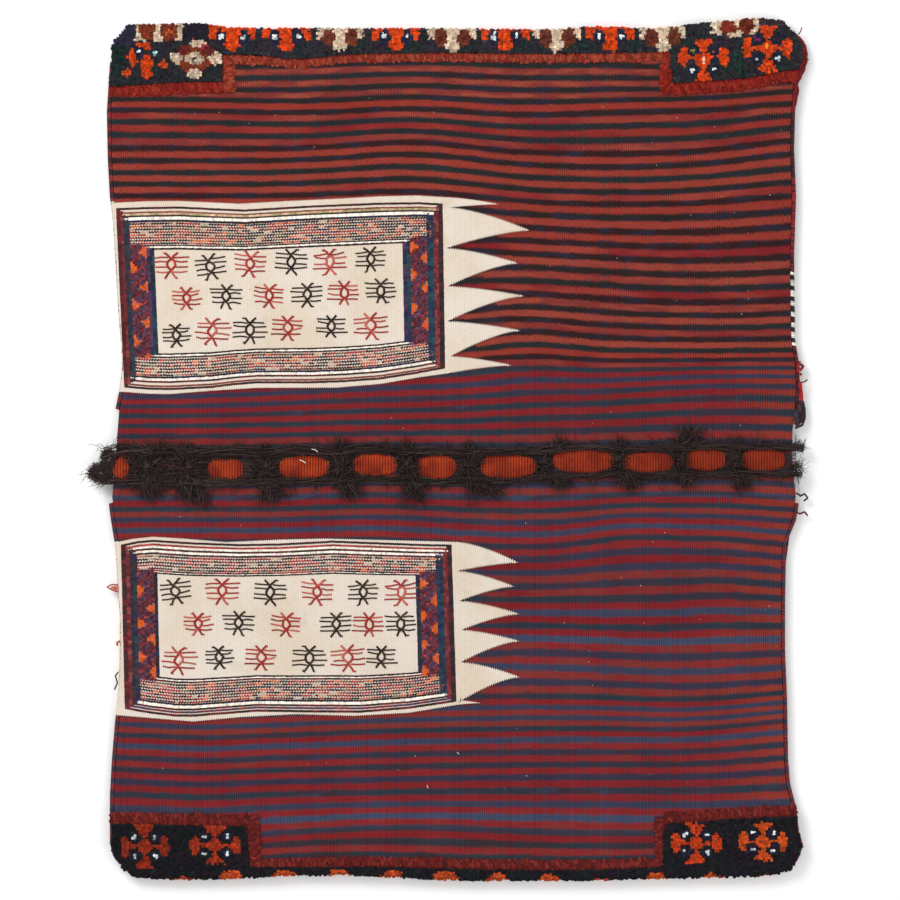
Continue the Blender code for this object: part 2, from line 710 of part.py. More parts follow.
def build_lashing(index, x, strip):
    """Goat-hair closing loop lashed through the bridge, with a frayed tail on top."""
    name = "closure_loop_%02d" % (index + 1)
    path = lash_ring(x)
    bm = bmesh.new()
    tube(bm, path, [(LASH_WIDTH / 2, LASH_THICK / 2)] * len(path), 6, closed=True)
    lashing = add_object(name, bm, [new_material("goat_hair_" + name, GOAT_HAIR)])

    over = path[0][2]
    cord_top = BACK_TOP + TOUCH + CORD_HEIGHT
    above = cord_top + TOUCH + TAIL_RADIUS
    leg_room = LASH_THICK + 2 * TOUCH
    cord_far = BAND_HALF + leg_room + TOUCH + 2 * CORD_HALF
    cord_near = cord_far - 2 * CORD_HALF
    way = 1 if index in RAISED_TUFTS else -1
    middle = band_line(x, 0.0)
    tail = bmesh.new()
    reaches = [(0.0, 0.002, over + 0.001),
               (0.15, cord_near - 0.002, above),
               (0.4, cord_far, above),
               (0.7, cord_far + TAIL_DROP, BACK_TOP + TAIL_RADIUS + 0.004),
               (1.0, cord_far + TAIL_LENGTH, BACK_TOP + TAIL_RADIUS + TOUCH)]
    points = [(x + share * TAIL_LEAN, middle + way * reach, z) for share, reach, z in reaches]
    tube(tail, points, [(TAIL_RADIUS * s, TAIL_RADIUS * s) for s in TAIL_SIZES], 5)
    join_by_union(lashing, tail, name + "_tail", lashing.data.materials[:])

    hole_x = LASH_WIDTH / 2 + TOUCH
    hole_y = LASH_THICK / 2 + TOUCH
    leg = BAND_HALF + TOUCH + LASH_THICK / 2
    bm = bmesh.new()
    for side in (-1, 1):
        y = middle + side * leg
        outline = [(x - hole_x, y - hole_y), (x + hole_x, y - hole_y),
                   (x + hole_x, y + hole_y), (x - hole_x, y + hole_y)]
        prism(bm, outline, BACK_TOP - 2 * CLOTH, BACK_TOP + CLOTH, moved=False)
    cutter = add_object(name + "_slits", bm, [])
    cutter.hide_render = True
    cutter.display_type = "WIRE"
    modifier = strip.modifiers.new(name + "_slits", "BOOLEAN")
    modifier.operation = "DIFFERENCE"
    modifier.solver = "EXACT"
    modifier.object = cutter
    return lashing


def build_seam(name, side, end):
    """Overcast cord that closes one long side of one bag, from its mouth to the fold.

    Its inner side is flat, against the edges of the two layers.
    """
    outline = LEFT_SIDE if side < 0 else RIGHT_SIDE
    mouth = UPPER_MOUTH if end > 0 else LOWER_MOUTH
    stop = (TOP_FOLD_Y if end > 0 else BOTTOM_FOLD_Y) - end * SEAM_END
    low, high = min(mouth, stop), max(mouth, stop)
    stations = [low] + [y for y, x in outline if low < y < high] + [high]
    height = BACK_TOP / 2 + SEAM_LIFT
    half = SEAM_WIDTH / 2
    points = [(side_x(side, y) - side * half, y, height) for y in stations]
    section = [(-side, -SEAM_FLAT), (-side, SEAM_FLAT), (0.0, 0.5),
               (side, SEAM_SHOULDER), (side, -SEAM_SHOULDER), (0.0, -0.5)]
    ring_sides = len(section)
    bm = bmesh.new()
    rings = []
    for x, y, z in points:
        rings.append([bm.verts.new((x + across * half, y, z + upright * SEAM_HEIGHT))
                      for across, upright in section])
    for one, two in zip(rings, rings[1:]):
        for k in range(ring_sides):
            n = (k + 1) % ring_sides
            bm.faces.new((one[k], one[n], two[n], two[k]))
    bm.faces.new(rings[0][::-1])
    bm.faces.new(rings[-1])
    return add_object(name, bm, [new_material("wool_seam_" + name, SEAM_RED)])


def main():
    """Clear the scene and build the bag."""
    for obj in list(bpy.data.objects):
        bpy.data.objects.remove(obj, do_unlink=True)
    strip = build_strip()
    build_panel("cream_panel_upper", UPPER_PANEL, UPPER_FIELD, UPPER_TEETH)
    build_panel("cream_panel_lower", LOWER_PANEL, LOWER_FIELD, LOWER_TEETH)
    build_pile("pile_band_top", 1)
    build_pile("pile_band_bottom", -1)
    build_border("wrapped_border_top", 1)
    build_border("wrapped_border_bottom", -1)
    build_band()
    build_goat_cord("goat_hair_cord_upper", 1)
    build_goat_cord("goat_hair_cord_lower", -1)
    for index, x in enumerate(LASH_PLACES):
        build_lashing(index, x, strip)
    build_seam("side_seam_upper_left", -1, 1)
    build_seam("side_seam_upper_right", 1, 1)
    build_seam("side_seam_lower_left", -1, -1)
    build_seam("side_seam_lower_right", 1, -1)


main()
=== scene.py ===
"""Looks of the kilim saddle bag: an empty pair of bags, lying flat with the mouths underneath.

The bag's places are read off a plan of 1.4 mm squares whose first square is at its upper left.
Everything else is in metres, and the colours are the eye's own numbers from 0 to 255.
"""
import math

import bpy
import numpy as np
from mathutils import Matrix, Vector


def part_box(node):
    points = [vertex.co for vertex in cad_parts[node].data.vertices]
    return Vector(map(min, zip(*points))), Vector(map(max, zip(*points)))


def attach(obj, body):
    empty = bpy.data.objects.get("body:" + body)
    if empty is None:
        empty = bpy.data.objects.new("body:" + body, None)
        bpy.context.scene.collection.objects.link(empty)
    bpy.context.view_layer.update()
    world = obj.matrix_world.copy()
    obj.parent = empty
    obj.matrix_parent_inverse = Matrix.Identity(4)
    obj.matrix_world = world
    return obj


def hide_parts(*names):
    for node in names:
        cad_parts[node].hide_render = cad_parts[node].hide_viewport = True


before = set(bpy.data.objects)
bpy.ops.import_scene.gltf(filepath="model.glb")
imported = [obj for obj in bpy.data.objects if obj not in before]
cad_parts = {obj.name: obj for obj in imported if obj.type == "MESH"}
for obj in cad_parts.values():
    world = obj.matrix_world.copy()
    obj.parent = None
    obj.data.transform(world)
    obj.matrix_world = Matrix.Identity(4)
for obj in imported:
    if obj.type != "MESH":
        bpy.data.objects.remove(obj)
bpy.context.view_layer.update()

# ---------------------------------------------------------------------------------------------
# The striped strip. One long weft-faced wool cloth, woven in narrow stripes over ribs of warp,
# folded at both ends so that each end makes a bag. It is drawn out of line where it is sewn.
# ---------------------------------------------------------------------------------------------
SQUARE = 0.0014
PLAN_MIDDLE = (448.0, 448.5)
CLOTH = 0.004
HALF_CLOTH = 0.470
TOP_FOLD = 0.590
BOTTOM_FOLD = -0.600
SEAM_ROOM = 0.0071
RIB = 0.0031
RIB_HEIGHT = 0.00022
ROW = 0.0145
INNER_COLUMNS = 17
SHARP_ANGLE = math.radians(50)
CLOTH_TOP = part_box("cream_panel_upper")[0].z - 0.0003
FOLD_RADIUS = 0.003
FOLD_ROOM = 0.011
FRONT_LOW = 0.0
RAISED_LOW = 0.006
RISE = (0.040, 0.085)
MOUTHS = (0.033, -0.077)
BRIDGE_MIDDLE = -0.022
BRIDGE_REACH = 0.075

# Outside this share of the width the cloth is drawn in or out to meet the sides, and above and
# below these heights to meet the ends
STRAIGHT_SHARE = 5 / 7
STRAIGHT_ENDS = (0.49, -0.52)
# Beyond this distance from the middle the cloth lies flat under the pile
FLAT_FROM = 0.55
FLAT_STEP = 0.06

# Stripe number, counted down from the first red one, and its height on the straight cloth
STRIPES = np.array([
    (0, 0.5273), (3.62, 0.4624), (7.25, 0.4062), (10.88, 0.3476), (14.5, 0.2769),
    (18.12, 0.2034), (21.75, 0.1343), (25.38, 0.0728), (29, 0.0121), (34, -0.0812),
    (37.62, -0.1406), (41.25, -0.2067), (44.88, -0.2708), (48.5, -0.3452), (52.12, -0.3998),
    (55.75, -0.4643), (59.38, -0.5361), (63, -0.5944),
])
PAIR = 0.0179

# Teeth of the two cream panels, on the plan: upper root, tip, lower root
STRIPE_FAN = 0.55
TEETH = [
    [((447, 197.5), (498.5, 204.3), (448, 207.6)), ((448, 207.6), (529.3, 230.4), (445.7, 248.3)),
     ((445.7, 248.3), (518, 263.2), (447.6, 286.5)), ((447.6, 286.5), (524, 296), (446.8, 321.5)),
     ((446.8, 321.5), (520.5, 330.5), (450.6, 356.4)),
     ((450.6, 356.4), (511.5, 365.3), (447, 373.5))],
    [((457, 542), (518, 562.5), (457, 571)), ((457, 571), (514, 586.4), (459, 601)),
     ((459, 601), (519.3, 613.9), (461.2, 630)), ((461.2, 630), (519.3, 641), (460.6, 662.3)),
     ((460.6, 662.3), (519.5, 677), (461.4, 700.5)), ((461.4, 700.5), (480, 703), (458, 704.5))],
]

# Where the weave is drawn up or down: x, y, shift, reach in x, reach in y
RUCKS = np.array([
    (-0.428, 0.130, -0.0201, 0.203, 0.058), (-0.049, 0.423, 0.0120, 0.081, 0.082),
    (-0.431, 0.460, 0.0097, 0.177, 0.025), (0.485, 0.453, 0.0168, 0.071, 0.066),
    (0.359, 0.257, -0.0126, 0.128, 0.088), (0.402, 0.066, 0.0181, 0.169, 0.038),
    (0.249, -0.138, 0.0116, 0.055, 0.046), (0.354, -0.280, -0.0150, 0.098, 0.067),
    (-0.382, -0.146, 0.0104, 0.218, 0.047), (-0.333, -0.341, -0.0136, 0.230, 0.102),
    (0.497, -0.410, 0.0113, 0.075, 0.058), (0.444, -0.585, -0.0166, 0.060, 0.025),
    (-0.480, -0.564, -0.0151, 0.110, 0.031), (-0.059, -0.537, 0.0083, 0.116, 0.025),
    (0.416, 0.606, 0.0139, 0.087, 0.025), (-0.372, 0.596, 0.0084, 0.083, 0.025),
    (0.171, -0.594, -0.0076, 0.154, 0.028), (-0.097, -0.183, 0.0086, 0.080, 0.106),
    (0.093, -0.448, 0.0007, 0.152, 0.087), (0.175, 0.361, -0.0085, 0.140, 0.063),
    (0.115, 0.136, 0.0073, 0.050, 0.058), (0.373, -0.180, 0.0143, 0.072, 0.091),
    (0.104, -0.055, 0.0019, 0.198, 0.044), (-0.345, -0.475, -0.0036, 0.050, 0.082),
    (0.285, 0.467, 0.0091, 0.119, 0.025),
])

# Outline of the whole on the plan: row and column down the sides, column and row along the ends
LEFT_SIDE = [
    (22, 139), (26, 127), (32, 120), (40, 112.5), (46, 110.5), (64, 109), (88, 107.5),
    (112, 106), (160, 107), (196, 109), (220, 112), (268, 115), (304, 117), (340, 120),
    (364, 122), (388, 119), (412, 114), (436, 112), (470, 110), (496, 107), (520, 110),
    (544, 114), (568, 116), (592, 117), (616, 119), (652, 119), (688, 118), (724, 114),
    (760, 111), (796, 109), (844, 109), (856, 112), (868, 121), (876, 132), (881, 146),
]
RIGHT_SIDE = [
    (17, 769), (20.5, 781), (26, 789.5), (33, 797), (40, 802), (48, 804), (64, 803), (80, 799),
    (112, 796), (148, 795), (196, 797), (256, 795), (340, 796), (364, 800), (388, 801),
    (407, 800), (436, 797), (460, 797), (496, 801), (520, 797), (532, 792), (544, 787),
    (604, 786), (652, 786), (700, 788), (760, 789), (784, 791), (808, 797), (832, 800),
    (846, 804), (858, 800), (868, 793), (876, 780),
]
TOP_EDGE = [
    (110, 25), (136, 23), (196, 22), (236, 26.5), (336, 27), (436, 27), (516, 28), (556, 28),
    (596, 25), (656, 27), (676, 25), (716, 20), (756, 16.5), (776, 18), (796, 24),
]
BOTTOM_EDGE = [
    (110, 876), (136, 879), (176, 881), (236, 880), (296, 877), (356, 877), (396, 879),
    (456, 882), (536, 882), (596, 882), (656, 880), (716, 879), (756, 878), (776, 876),
    (796, 870),
]


def spot(column, row):
    """A place on the plan, in metres from the middle of the bag."""
    return ((np.asarray(column, float) - PLAN_MIDDLE[0]) * SQUARE,
            (PLAN_MIDDLE[1] - np.asarray(row, float)) * SQUARE)


def side_at(side, y):
    """Where a long side of the outline is at a height, in metres."""
    rows, columns = np.array(side, float).T
    x, heights = spot(columns, rows)
    return np.interp(-np.asarray(y), -heights, x)


def end_at(edge, x):
    """Where an end of the outline is at a place across the bag, in metres."""
    columns, rows = np.array(edge, float).T
    places, y = spot(columns, rows)
    return np.interp(x, places, y)


def eased(share):
    """From 0 to 1 with soft ends."""
    share = np.clip(share, 0.0, 1.0)
    return share * share * (3 - 2 * share)


def pull(x, y):
    """Shift of the drawn weave along y."""
    total = np.zeros(np.broadcast(x, y).shape)
    for ruck_x, ruck_y, shift, reach_x, reach_y in RUCKS:
        total += shift * np.exp(-0.5 * ((x - ruck_x) / reach_x) ** 2
                                - 0.5 * ((y - ruck_y) / reach_y) ** 2)
    return total


def drawn(x, y):
    """Where a point of the straight cloth lies on the bag."""
    x = np.asarray(x, float)
    y = np.asarray(y, float)
    moved = y + pull(x, y)
    top_gap = end_at(TOP_EDGE, x) - TOP_FOLD - pull(x, np.full_like(x, TOP_FOLD))
    bottom_gap = end_at(BOTTOM_EDGE, x) - BOTTOM_FOLD - pull(x, np.full_like(x, BOTTOM_FOLD))
    high, low = STRAIGHT_ENDS
    moved = moved + top_gap * eased((y - high) / (TOP_FOLD - high))
    moved = moved + bottom_gap * eased((y - low) / (BOTTOM_FOLD - low))
    inner = HALF_CLOTH * STRAIGHT_SHARE
    left = side_at(LEFT_SIDE, moved) + SEAM_ROOM
    right = side_at(RIGHT_SIDE, moved) - SEAM_ROOM
    share_left = np.clip((-inner - x) / (HALF_CLOTH - inner), 0.0, 1.2)
    share_right = np.clip((x - inner) / (HALF_CLOTH - inner), 0.0, 1.2)
    placed = x + share_left * (left + HALF_CLOTH) + share_right * (right - HALF_CLOTH)
    return placed, moved


def lie(x, y):
    """How the cloth rises and falls as it lies, in metres."""
    bridge = np.exp(-(((y - BRIDGE_MIDDLE) / BRIDGE_REACH) ** 2))
    wave = 0.0007 * np.sin(5.1 * x + 9.2 * y + 0.4) * np.sin(13.3 * y - 4.1 * x)
    gathers = 0.0007 * np.sin(2 * np.pi * x / 0.094 + 0.8) * bridge
    creases = 0.0003 * np.sin(52 * y + 7 * np.sin(6 * x)) * np.exp(-(((x + 0.2) / 0.3) ** 2))
    return wave + gathers + creases


def stripe_number(y):
    """Stripe number at a height of the straight cloth."""
    y = np.asarray(y, float)
    number = np.interp(-y, -STRIPES[:, 1], STRIPES[:, 0])
    above = STRIPES[0, 0] - (y - STRIPES[0, 1]) / PAIR
    below = STRIPES[-1, 0] - (y - STRIPES[-1, 1]) / PAIR
    return np.where(y > STRIPES[0, 1], above, np.where(y < STRIPES[-1, 1], below, number))


def fan(x, y):
    """Extra stripe number where the stripes draw together between the teeth of a panel."""
    extra = np.zeros(x.shape)
    for teeth in TEETH:
        for upper, lower in zip(teeth, teeth[1:]):
            root_x, root_y = spot(*lower[0])
            tip_x = min(spot(*upper[1])[0], spot(*lower[1])[0])
            share = np.clip((x - root_x) / (tip_x - root_x), 0.0, 1.0)
            tip_y = (spot(*upper[1])[1] + spot(*lower[1])[1]) / 2
            middle = root_y + (tip_y - root_y) * share
            reach = abs(spot(*upper[1])[1] - spot(*lower[1])[1]) / 2
            near = (np.abs(y - middle) < reach * share + 0.003) & (x > root_x - 0.03) & (x < tip_x)
            extra = np.where(near, (middle - y) / PAIR * STRIPE_FAN * (1 - share), extra)
    return extra


def strip_section():
    """Section of the strip from mouth to mouth: y, z, outward y and z, how much it is the back."""
    rows = []
    for end, mouth in ((-1, MOUTHS[1]), (1, MOUTHS[0])):
        fold = TOP_FOLD if end > 0 else BOTTOM_FOLD
        centre = fold - end * FOLD_ROOM
        half = []
        for y in np.linspace(mouth, centre - end * RISE[1], 4):
            half.append((y, FRONT_LOW, 0.0, -1.0, 0.0))
        for share in np.linspace(0.2, 1.0, 5):
            y = centre - end * (RISE[1] + (RISE[0] - RISE[1]) * share)
            z = FRONT_LOW + (RAISED_LOW - FRONT_LOW) * float(eased(share))
            half.append((y, z, 0.0, -1.0, 0.0))
        for y in np.linspace(centre - end * RISE[0], centre, 4)[1:-1]:
            half.append((y, RAISED_LOW, 0.0, -1.0, 0.0))
        for turn in np.linspace(-math.pi / 2, math.pi / 2, 7)[:-1]:
            radius = FOLD_RADIUS + CLOTH / 2
            middle = (CLOTH_TOP + RAISED_LOW) / 2
            half.append((centre + end * radius * math.cos(turn),
                         middle + radius * math.sin(turn),
                         end * math.cos(turn), math.sin(turn), 0.0))
        rows.append(half)
    bottom = BOTTOM_FOLD + FOLD_ROOM
    top = TOP_FOLD - FOLD_ROOM
    count = round((top - bottom) / ROW)
    back = [(y, CLOTH_TOP, 0.0, 1.0, 1.0) for y in np.linspace(bottom, top, count + 1)]
    return np.array(rows[0] + back + rows[1][::-1])


def every_other(count, even, odd):
    """A row of two values in turn."""
    return np.where(np.arange(count) % 2 == 0, even, odd)[None, :]


def make_mesh(name, verts, faces, material=None, tints=None):
    """Make one named mesh, dyed point by point if tints are given."""
    mesh = bpy.data.meshes.new(name)
    mesh.from_pydata(np.asarray(verts, float).tolist(), [], faces)
    mesh.update()
    mesh.polygons.foreach_set("use_smooth", [True] * len(mesh.polygons))
    mesh.set_sharp_from_angle(angle=SHARP_ANGLE)
    if material is not None:
        mesh.materials.append(material)
    if tints is not None:
        layer = mesh.attributes.new("tint", "FLOAT_COLOR", "POINT")
        layer.data.foreach_set("color", np.asarray(tints, np.float32).ravel())
    piece = bpy.data.objects.new(name, mesh)
    bpy.context.scene.collection.objects.link(piece)
    return piece


def grid_faces(rows, columns, start=0, flip=False):
    """Four-sided faces of a grid of points that is stored row after row."""
    at = (np.arange(rows - 1)[:, None] * columns + np.arange(columns - 1)[None, :]).ravel() + start
    quads = np.stack([at, at + 1, at + columns + 1, at + columns], 1)
    if flip:
        quads = quads[:, ::-1]
    return quads.tolist()


class Dye:
    """A value inside a material, so that sums with it read as they are written."""

    def __init__(self, tree, socket):
        self.tree = tree
        self.socket = socket

    def feed(self, place, value):
        if isinstance(value, Dye):
            self.tree.links.new(value.socket, place)
        else:
            place.default_value = value

    def node(self, kind, inputs, output=0, **settings):
        made = self.tree.nodes.new(kind)
        for key, value in settings.items():
            setattr(made, key, value)
        for key, value in inputs.items():
            self.feed(made.inputs[key], value)
        return Dye(self.tree, made.outputs[output])

    def maths(self, operation, *values):
        return self.node("ShaderNodeMath", dict(enumerate(values)), operation=operation)

    def __add__(self, other):
        return self.maths("ADD", self, other)

    def __radd__(self, other):
        return self.maths("ADD", other, self)

    def __sub__(self, other):
        return self.maths("SUBTRACT", self, other)

    def __mul__(self, other):
        return self.maths("MULTIPLY", self, other)

    def __truediv__(self, other):
        return self.maths("DIVIDE", self, other)

    def floor(self):
        return self.maths("FLOOR", self)

    def nearest(self):
        return self.maths("ROUND", self)

    def size(self):
        return self.maths("ABSOLUTE", self)

    def cosine(self):
        return self.maths("COSINE", self)

    def step_from(self, low, high):
        """0 below low, 1 above high and a soft step between."""
        return self.node("ShaderNodeMapRange", {0: self, 1: low, 2: high},
                         interpolation_type="SMOOTHSTEP")

    def mixed(self, first, second):
        """The first colour where this value is 0, the second where it is 1."""
        return self.node("ShaderNodeMix", {0: self, 6: first, 7: second}, output=2,
                         data_type="RGBA")

    def scaled(self, share):
        """This colour, lighter or darker."""
        return self.node("ShaderNodeVectorMath", {0: self, "Scale": share}, operation="SCALE")

    def noise(self, scale, detail=2.0):
        """Cloudy value from 0 to 1 at this place."""
        return self.node("ShaderNodeTexNoise", {"Vector": self, "Scale": scale,
                                                "Detail": detail})

    def second(self):
        """The second output of the node that this value comes from."""
        return Dye(self.tree, self.socket.node.outputs[1])

    def chance(self):
        """A value from 0 to 1 that is another one for each whole number."""
        return self.node("ShaderNodeTexWhiteNoise", {"W": self}, noise_dimensions="1D")


def dyed(red, green, blue):
    """A colour as the eye's numbers from 0 to 255, made into light."""
    values = []
    for part in (red, green, blue):
        part = part / 255.0
        values.append(part / 12.92 if part <= 0.04045 else ((part + 0.055) / 1.055) ** 2.4)
    return (*values, 1.0)


def start_material(name, roughness, sheen=0.0):
    """New material: its shader, and a value to start sums from."""
    material = bpy.data.materials.new(name)
    material.use_nodes = True
    tree = material.node_tree
    shader = tree.nodes["Principled BSDF"]
    shader.inputs["Roughness"].default_value = roughness
    shader.inputs["Specular IOR Level"].default_value = 0.06
    shader.inputs["Sheen Weight"].default_value = sheen
    shader.inputs["Sheen Roughness"].default_value = 0.5
    return material, shader, Dye(tree, None)


def weave_noise(across, along, stretch, level, detail):
    """Cloudy value over the weave, drawn out by its stretch across and along."""
    place = across.node("ShaderNodeCombineXYZ",
                        {0: across * stretch[0], 1: along * stretch[1], 2: level})
    return place.noise(1.0, detail)


def finish_material(shader, start, colour, height=None, distance=0.0004, strength=0.5):
    """Join colour and relief to the shader."""
    start.feed(shader.inputs["Base Color"], colour)
    if height is not None:
        bump = start.node("ShaderNodeBump", {"Height": height, "Distance": distance,
                                             "Strength": strength})
        start.feed(shader.inputs["Normal"], bump)


def striped_wool():
    """Stripes by their number, each dyed a little differently, over ribs of warp with painted shade
    on them: lighter on the crests, darker between.
    """
    material, shader, start = start_material("striped_wool", 0.95)
    weave = start.node("ShaderNodeUVMap", {}, uv_map="weave")
    across = start.node("ShaderNodeSeparateXYZ", {0: weave})
    number = across.second()
    rib = (across / (RIB / 2)).floor()
    odd = rib.maths("FLOORED_MODULO", rib, 2.0)
    rib_chance = (rib + 0.37).chance()
    comb = weave_noise(across, number, (15.0, 0.8), 17.0, 2.0).step_from(0.42, 0.64)
    ragged = odd * (0.03 + comb * 0.065) + rib_chance * 0.07
    nearest = number.nearest()
    away = (number - nearest).size()
    below = number.floor()
    wander = weave_noise(across, number, (38.0, 1.9), 7.0, 2.0)
    dark = (away + ragged - 0.07 + (wander - 0.5) * 0.22).step_from(0.155, 0.325)
    red_chance = (nearest + 0.11).chance()
    red_chance_2 = (nearest * 3.7 + 5.3).chance()
    dark_chance = (below + 0.53).chance()
    dark_chance_2 = (below * 2.3 + 9.1).chance()
    drift = weave_noise(across, number, (9.0, 0.55), 0.0, 2.0)
    lower = (number + drift * 2.0).step_from(23.3, 24.6)
    last = number.step_from(58.8, 60.2)
    drift_2 = weave_noise(across, number, (26.0, 1.7), 3.0, 1.0)
    brick = red_chance.mixed(dyed(136, 48, 40), dyed(148, 70, 56))
    crimson = red_chance.mixed(dyed(118, 32, 36), dyed(132, 42, 44))
    red = lower.mixed(brick, crimson)
    red = (drift * red_chance_2).step_from(0.3, 0.6).mixed(red, dyed(122, 34, 38))
    red = (drift_2 * red_chance).step_from(0.25, 0.5).mixed(red, dyed(118, 48, 44))
    worn_side = (across + drift * 0.12).step_from(0.41, 0.55) * lower
    red = worn_side.mixed(red, dyed(133, 52, 42))
    brown = dark_chance.mixed(dyed(50, 28, 30), dyed(38, 38, 36))
    brown = drift_2.step_from(0.5, 0.62).mixed(brown, dyed(40, 36, 48))
    slate = dark_chance.mixed(dyed(53, 48, 66), dyed(60, 69, 92))
    slate = (drift_2 * dark_chance_2).step_from(0.2, 0.5).mixed(slate, dyed(58, 42, 52))
    deep = lower.mixed(brown, slate)
    deep = last.mixed(deep, dyed(54, 44, 50))
    darkest = lower.mixed(dyed(38, 42, 44), dyed(43, 52, 62))
    deep = (drift * dark_chance_2).step_from(0.25, 0.55).mixed(deep, darkest)
    colour = dark.mixed(red, deep)
    crest = (across * (2 * math.pi / RIB)).cosine()
    pale_rib = (rib_chance - 0.5) * 0.16
    grain = weave_noise(across, number, (420.0, 14.0), 0.0, 1.0)
    fade = weave_noise(across, number, (12.0, 0.16), 11.0, 2.0)
    # Painted shade on the ribs: the crest term makes each rib lighter on its crest and darker in
    # the valleys beside it, more so where comb is high. pale_rib, grain, drift_2 and fade are the
    # wool's own uneven tone.
    shade = 0.90 + crest * (0.05 + comb * 0.20) + pale_rib + (grain - 0.5) * 0.62
    shade = shade + (drift_2 - 0.5) * 0.3 + (fade - 0.5) * 0.3
    height = crest * 0.5 + (grain - 0.5) * 0.8
    finish_material(shader, start, colour.scaled(shade), height, 0.00035, 0.6)
    return material


def build_strip():
    """The strip itself, ribbed outside and plain inside."""
    section = strip_section()
    ribs = round(2 * HALF_CLOTH / RIB)
    columns = 2 * ribs + 1
    across = np.linspace(-HALF_CLOTH, HALF_CLOTH, columns)
    x_flat, y_flat = np.meshgrid(across, section[:, 0])
    x, y = drawn(x_flat, y_flat)
    middle = (TOP_FOLD + BOTTOM_FOLD) / 2
    back = section[:, 4][:, None] * eased((FLAT_FROM - np.abs(y_flat - middle)) / FLAT_STEP)
    crest = every_other(columns, -1.0, 1.0) * RIB_HEIGHT
    rise = back * lie(x, y)
    out_y = section[:, 2][:, None] * crest
    out_z = section[:, 3][:, None] * crest * np.where(section[:, 3] < -0.5, 0.0, 1.0)[:, None]
    outer = np.stack([x, y + out_y, section[:, 1][:, None] + rise + out_z], 2)
    keep = np.linspace(0, columns - 1, INNER_COLUMNS).round().astype(int)
    inner = np.stack([x, y, section[:, 1][:, None] + rise], 2)[:, keep]
    inner[:, :, 1] -= section[:, 2][:, None] * CLOTH
    inner[:, :, 2] -= section[:, 3][:, None] * CLOTH
    rows = len(section)
    verts = np.concatenate([outer.reshape(-1, 3), inner.reshape(-1, 3)])
    first = rows * columns
    faces = grid_faces(rows, columns) + grid_faces(rows, len(keep), first, flip=True)
    for row in range(rows - 1):
        a, b = row * columns, first + row * len(keep)
        faces.append([a, a + columns, b + len(keep), b])
        a, b = a + columns - 1, b + len(keep) - 1
        faces.append([a, b, b + len(keep), a + columns])
    last = first + (rows - 1) * len(keep)
    faces.append(list(range(columns))[::-1] + [first + k for k in range(len(keep))])
    far = [(rows - 1) * columns + k for k in range(columns)]
    faces.append(far + [last + k for k in range(len(keep))][::-1])
    piece = make_mesh("striped_strip", verts, faces, striped_wool())
    number = stripe_number(y_flat) + section[:, 4][:, None] * fan(x, y)
    under = section[:, 4] < 0.5
    number[under] += 0.5
    outside = np.stack([x_flat, number], 2)
    weave = np.concatenate([outside.reshape(-1, 2), outside[:, keep].reshape(-1, 2)])
    layer = piece.data.uv_layers.new(name="weave")
    loops = np.zeros(len(piece.data.loops), int)
    piece.data.loops.foreach_get("vertex_index", loops)
    layer.data.foreach_set("uv", weave[loops].astype(np.float32).ravel())
    return piece


strip = build_strip()
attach(strip, "root")
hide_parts("kilim_strip")

# ---------------------------------------------------------------------------------------------
# The cream panels. Plain undyed wool woven into the strip at its left side, one on each bag, with
# a toothed right edge that runs out between the stripes.
# ---------------------------------------------------------------------------------------------
PANEL_LIFT = 0.0006
PANEL_THICK = 0.0010
PANEL_RIB = 0.00012
TOOTH_RIB = 0.00015
PANELS = {
    "upper": {
        "size": (325.0, 175.0),
        "top": [(116.8, 209.4), (145, 208.2), (178, 207.6), (212, 209.2), (245, 210.6),
                (262, 209.6),
                (313, 206.5), (380, 203.8), (420, 203.4), (442, 204.6)],
        "bottom": [(125, 386.4), (148, 388.6), (170, 389), (212, 386.9), (235, 384),
                   (257, 382.3), (313, 382.3), (345, 381), (380, 378.4), (415, 373), (444, 367.6)],
        "left": (116.8, 125.0), "right": (442.0, 444.5),
        "cream_top": [(108, 203.2), (145, 201.4), (178, 201.0), (200, 202), (240, 203.8),
                      (282, 201.4),
                      (330, 199.2), (380, 196.5), (417, 195.6), (447, 197.5)],
        "cream_bottom": [(112, 391), (148, 393.6), (170, 394), (212, 390.6), (257, 387.8),
                         (336, 387.6), (380, 383.9), (422, 376.8), (450, 373)],
    },
    "lower": {
        "size": (331.0, 161.0),
        "top": [(121.9, 545.6), (138, 542.2), (153, 540.8), (193, 543.4), (240, 545.1),
                (280, 544.5), (333, 541.6), (380, 543.4), (420, 545), (451, 545.6)],
        "bottom": [(125.8, 707.9), (149.6, 712.2), (176, 715.4), (194, 715.4), (220, 713.3),
                   (257, 710.4), (313, 711.2), (361, 711.4), (409, 707.6), (456, 700.5)],
        "left": (121.9, 125.8), "right": (451.0, 455.8),
        "cream_top": [(112, 543.2), (132, 539), (153, 536.8), (184, 538.7), (226, 542.2),
                      (282, 539.6), (325, 538.6), (380, 540), (457, 542)],
        "cream_bottom": [(112, 714.6), (148, 717.6), (170, 719.4), (193, 721.3), (240, 716.9),
                         (296, 714), (353, 715.6), (409, 712.6), (458, 704.5)],
    },
}


def line_at(line, column):
    """Row of a drawn line at a column of the plan."""
    columns, rows = np.array(line, float).T
    return np.interp(column, columns, rows)


def ground_row(panel, column, down):
    """Row of the plan at a share of the way down a cream ground, at a column."""
    top = line_at(panel["cream_top"], column)
    return top * (1 - down) + line_at(panel["cream_bottom"], column) * down


def panel_spot(panel, across, down):
    """A place in a panel's frame, in squares from its upper left corner, as (x, y)."""
    width, height = panel["size"]
    across = np.asarray(across, float) / width
    down = np.asarray(down, float) / height
    left = panel["left"][0] + (panel["left"][1] - panel["left"][0]) * down
    right = panel["right"][0] + (panel["right"][1] - panel["right"][0]) * down
    column = left + (right - left) * across
    top = line_at(panel["top"], column)
    bottom = line_at(panel["bottom"], column)
    return spot(column, top + (bottom - top) * down)


def surface(x, y, lift):
    """Points that lie a given lift above the striped cloth."""
    return np.stack([x, y, CLOTH_TOP + lie(x, y) + lift], -1)


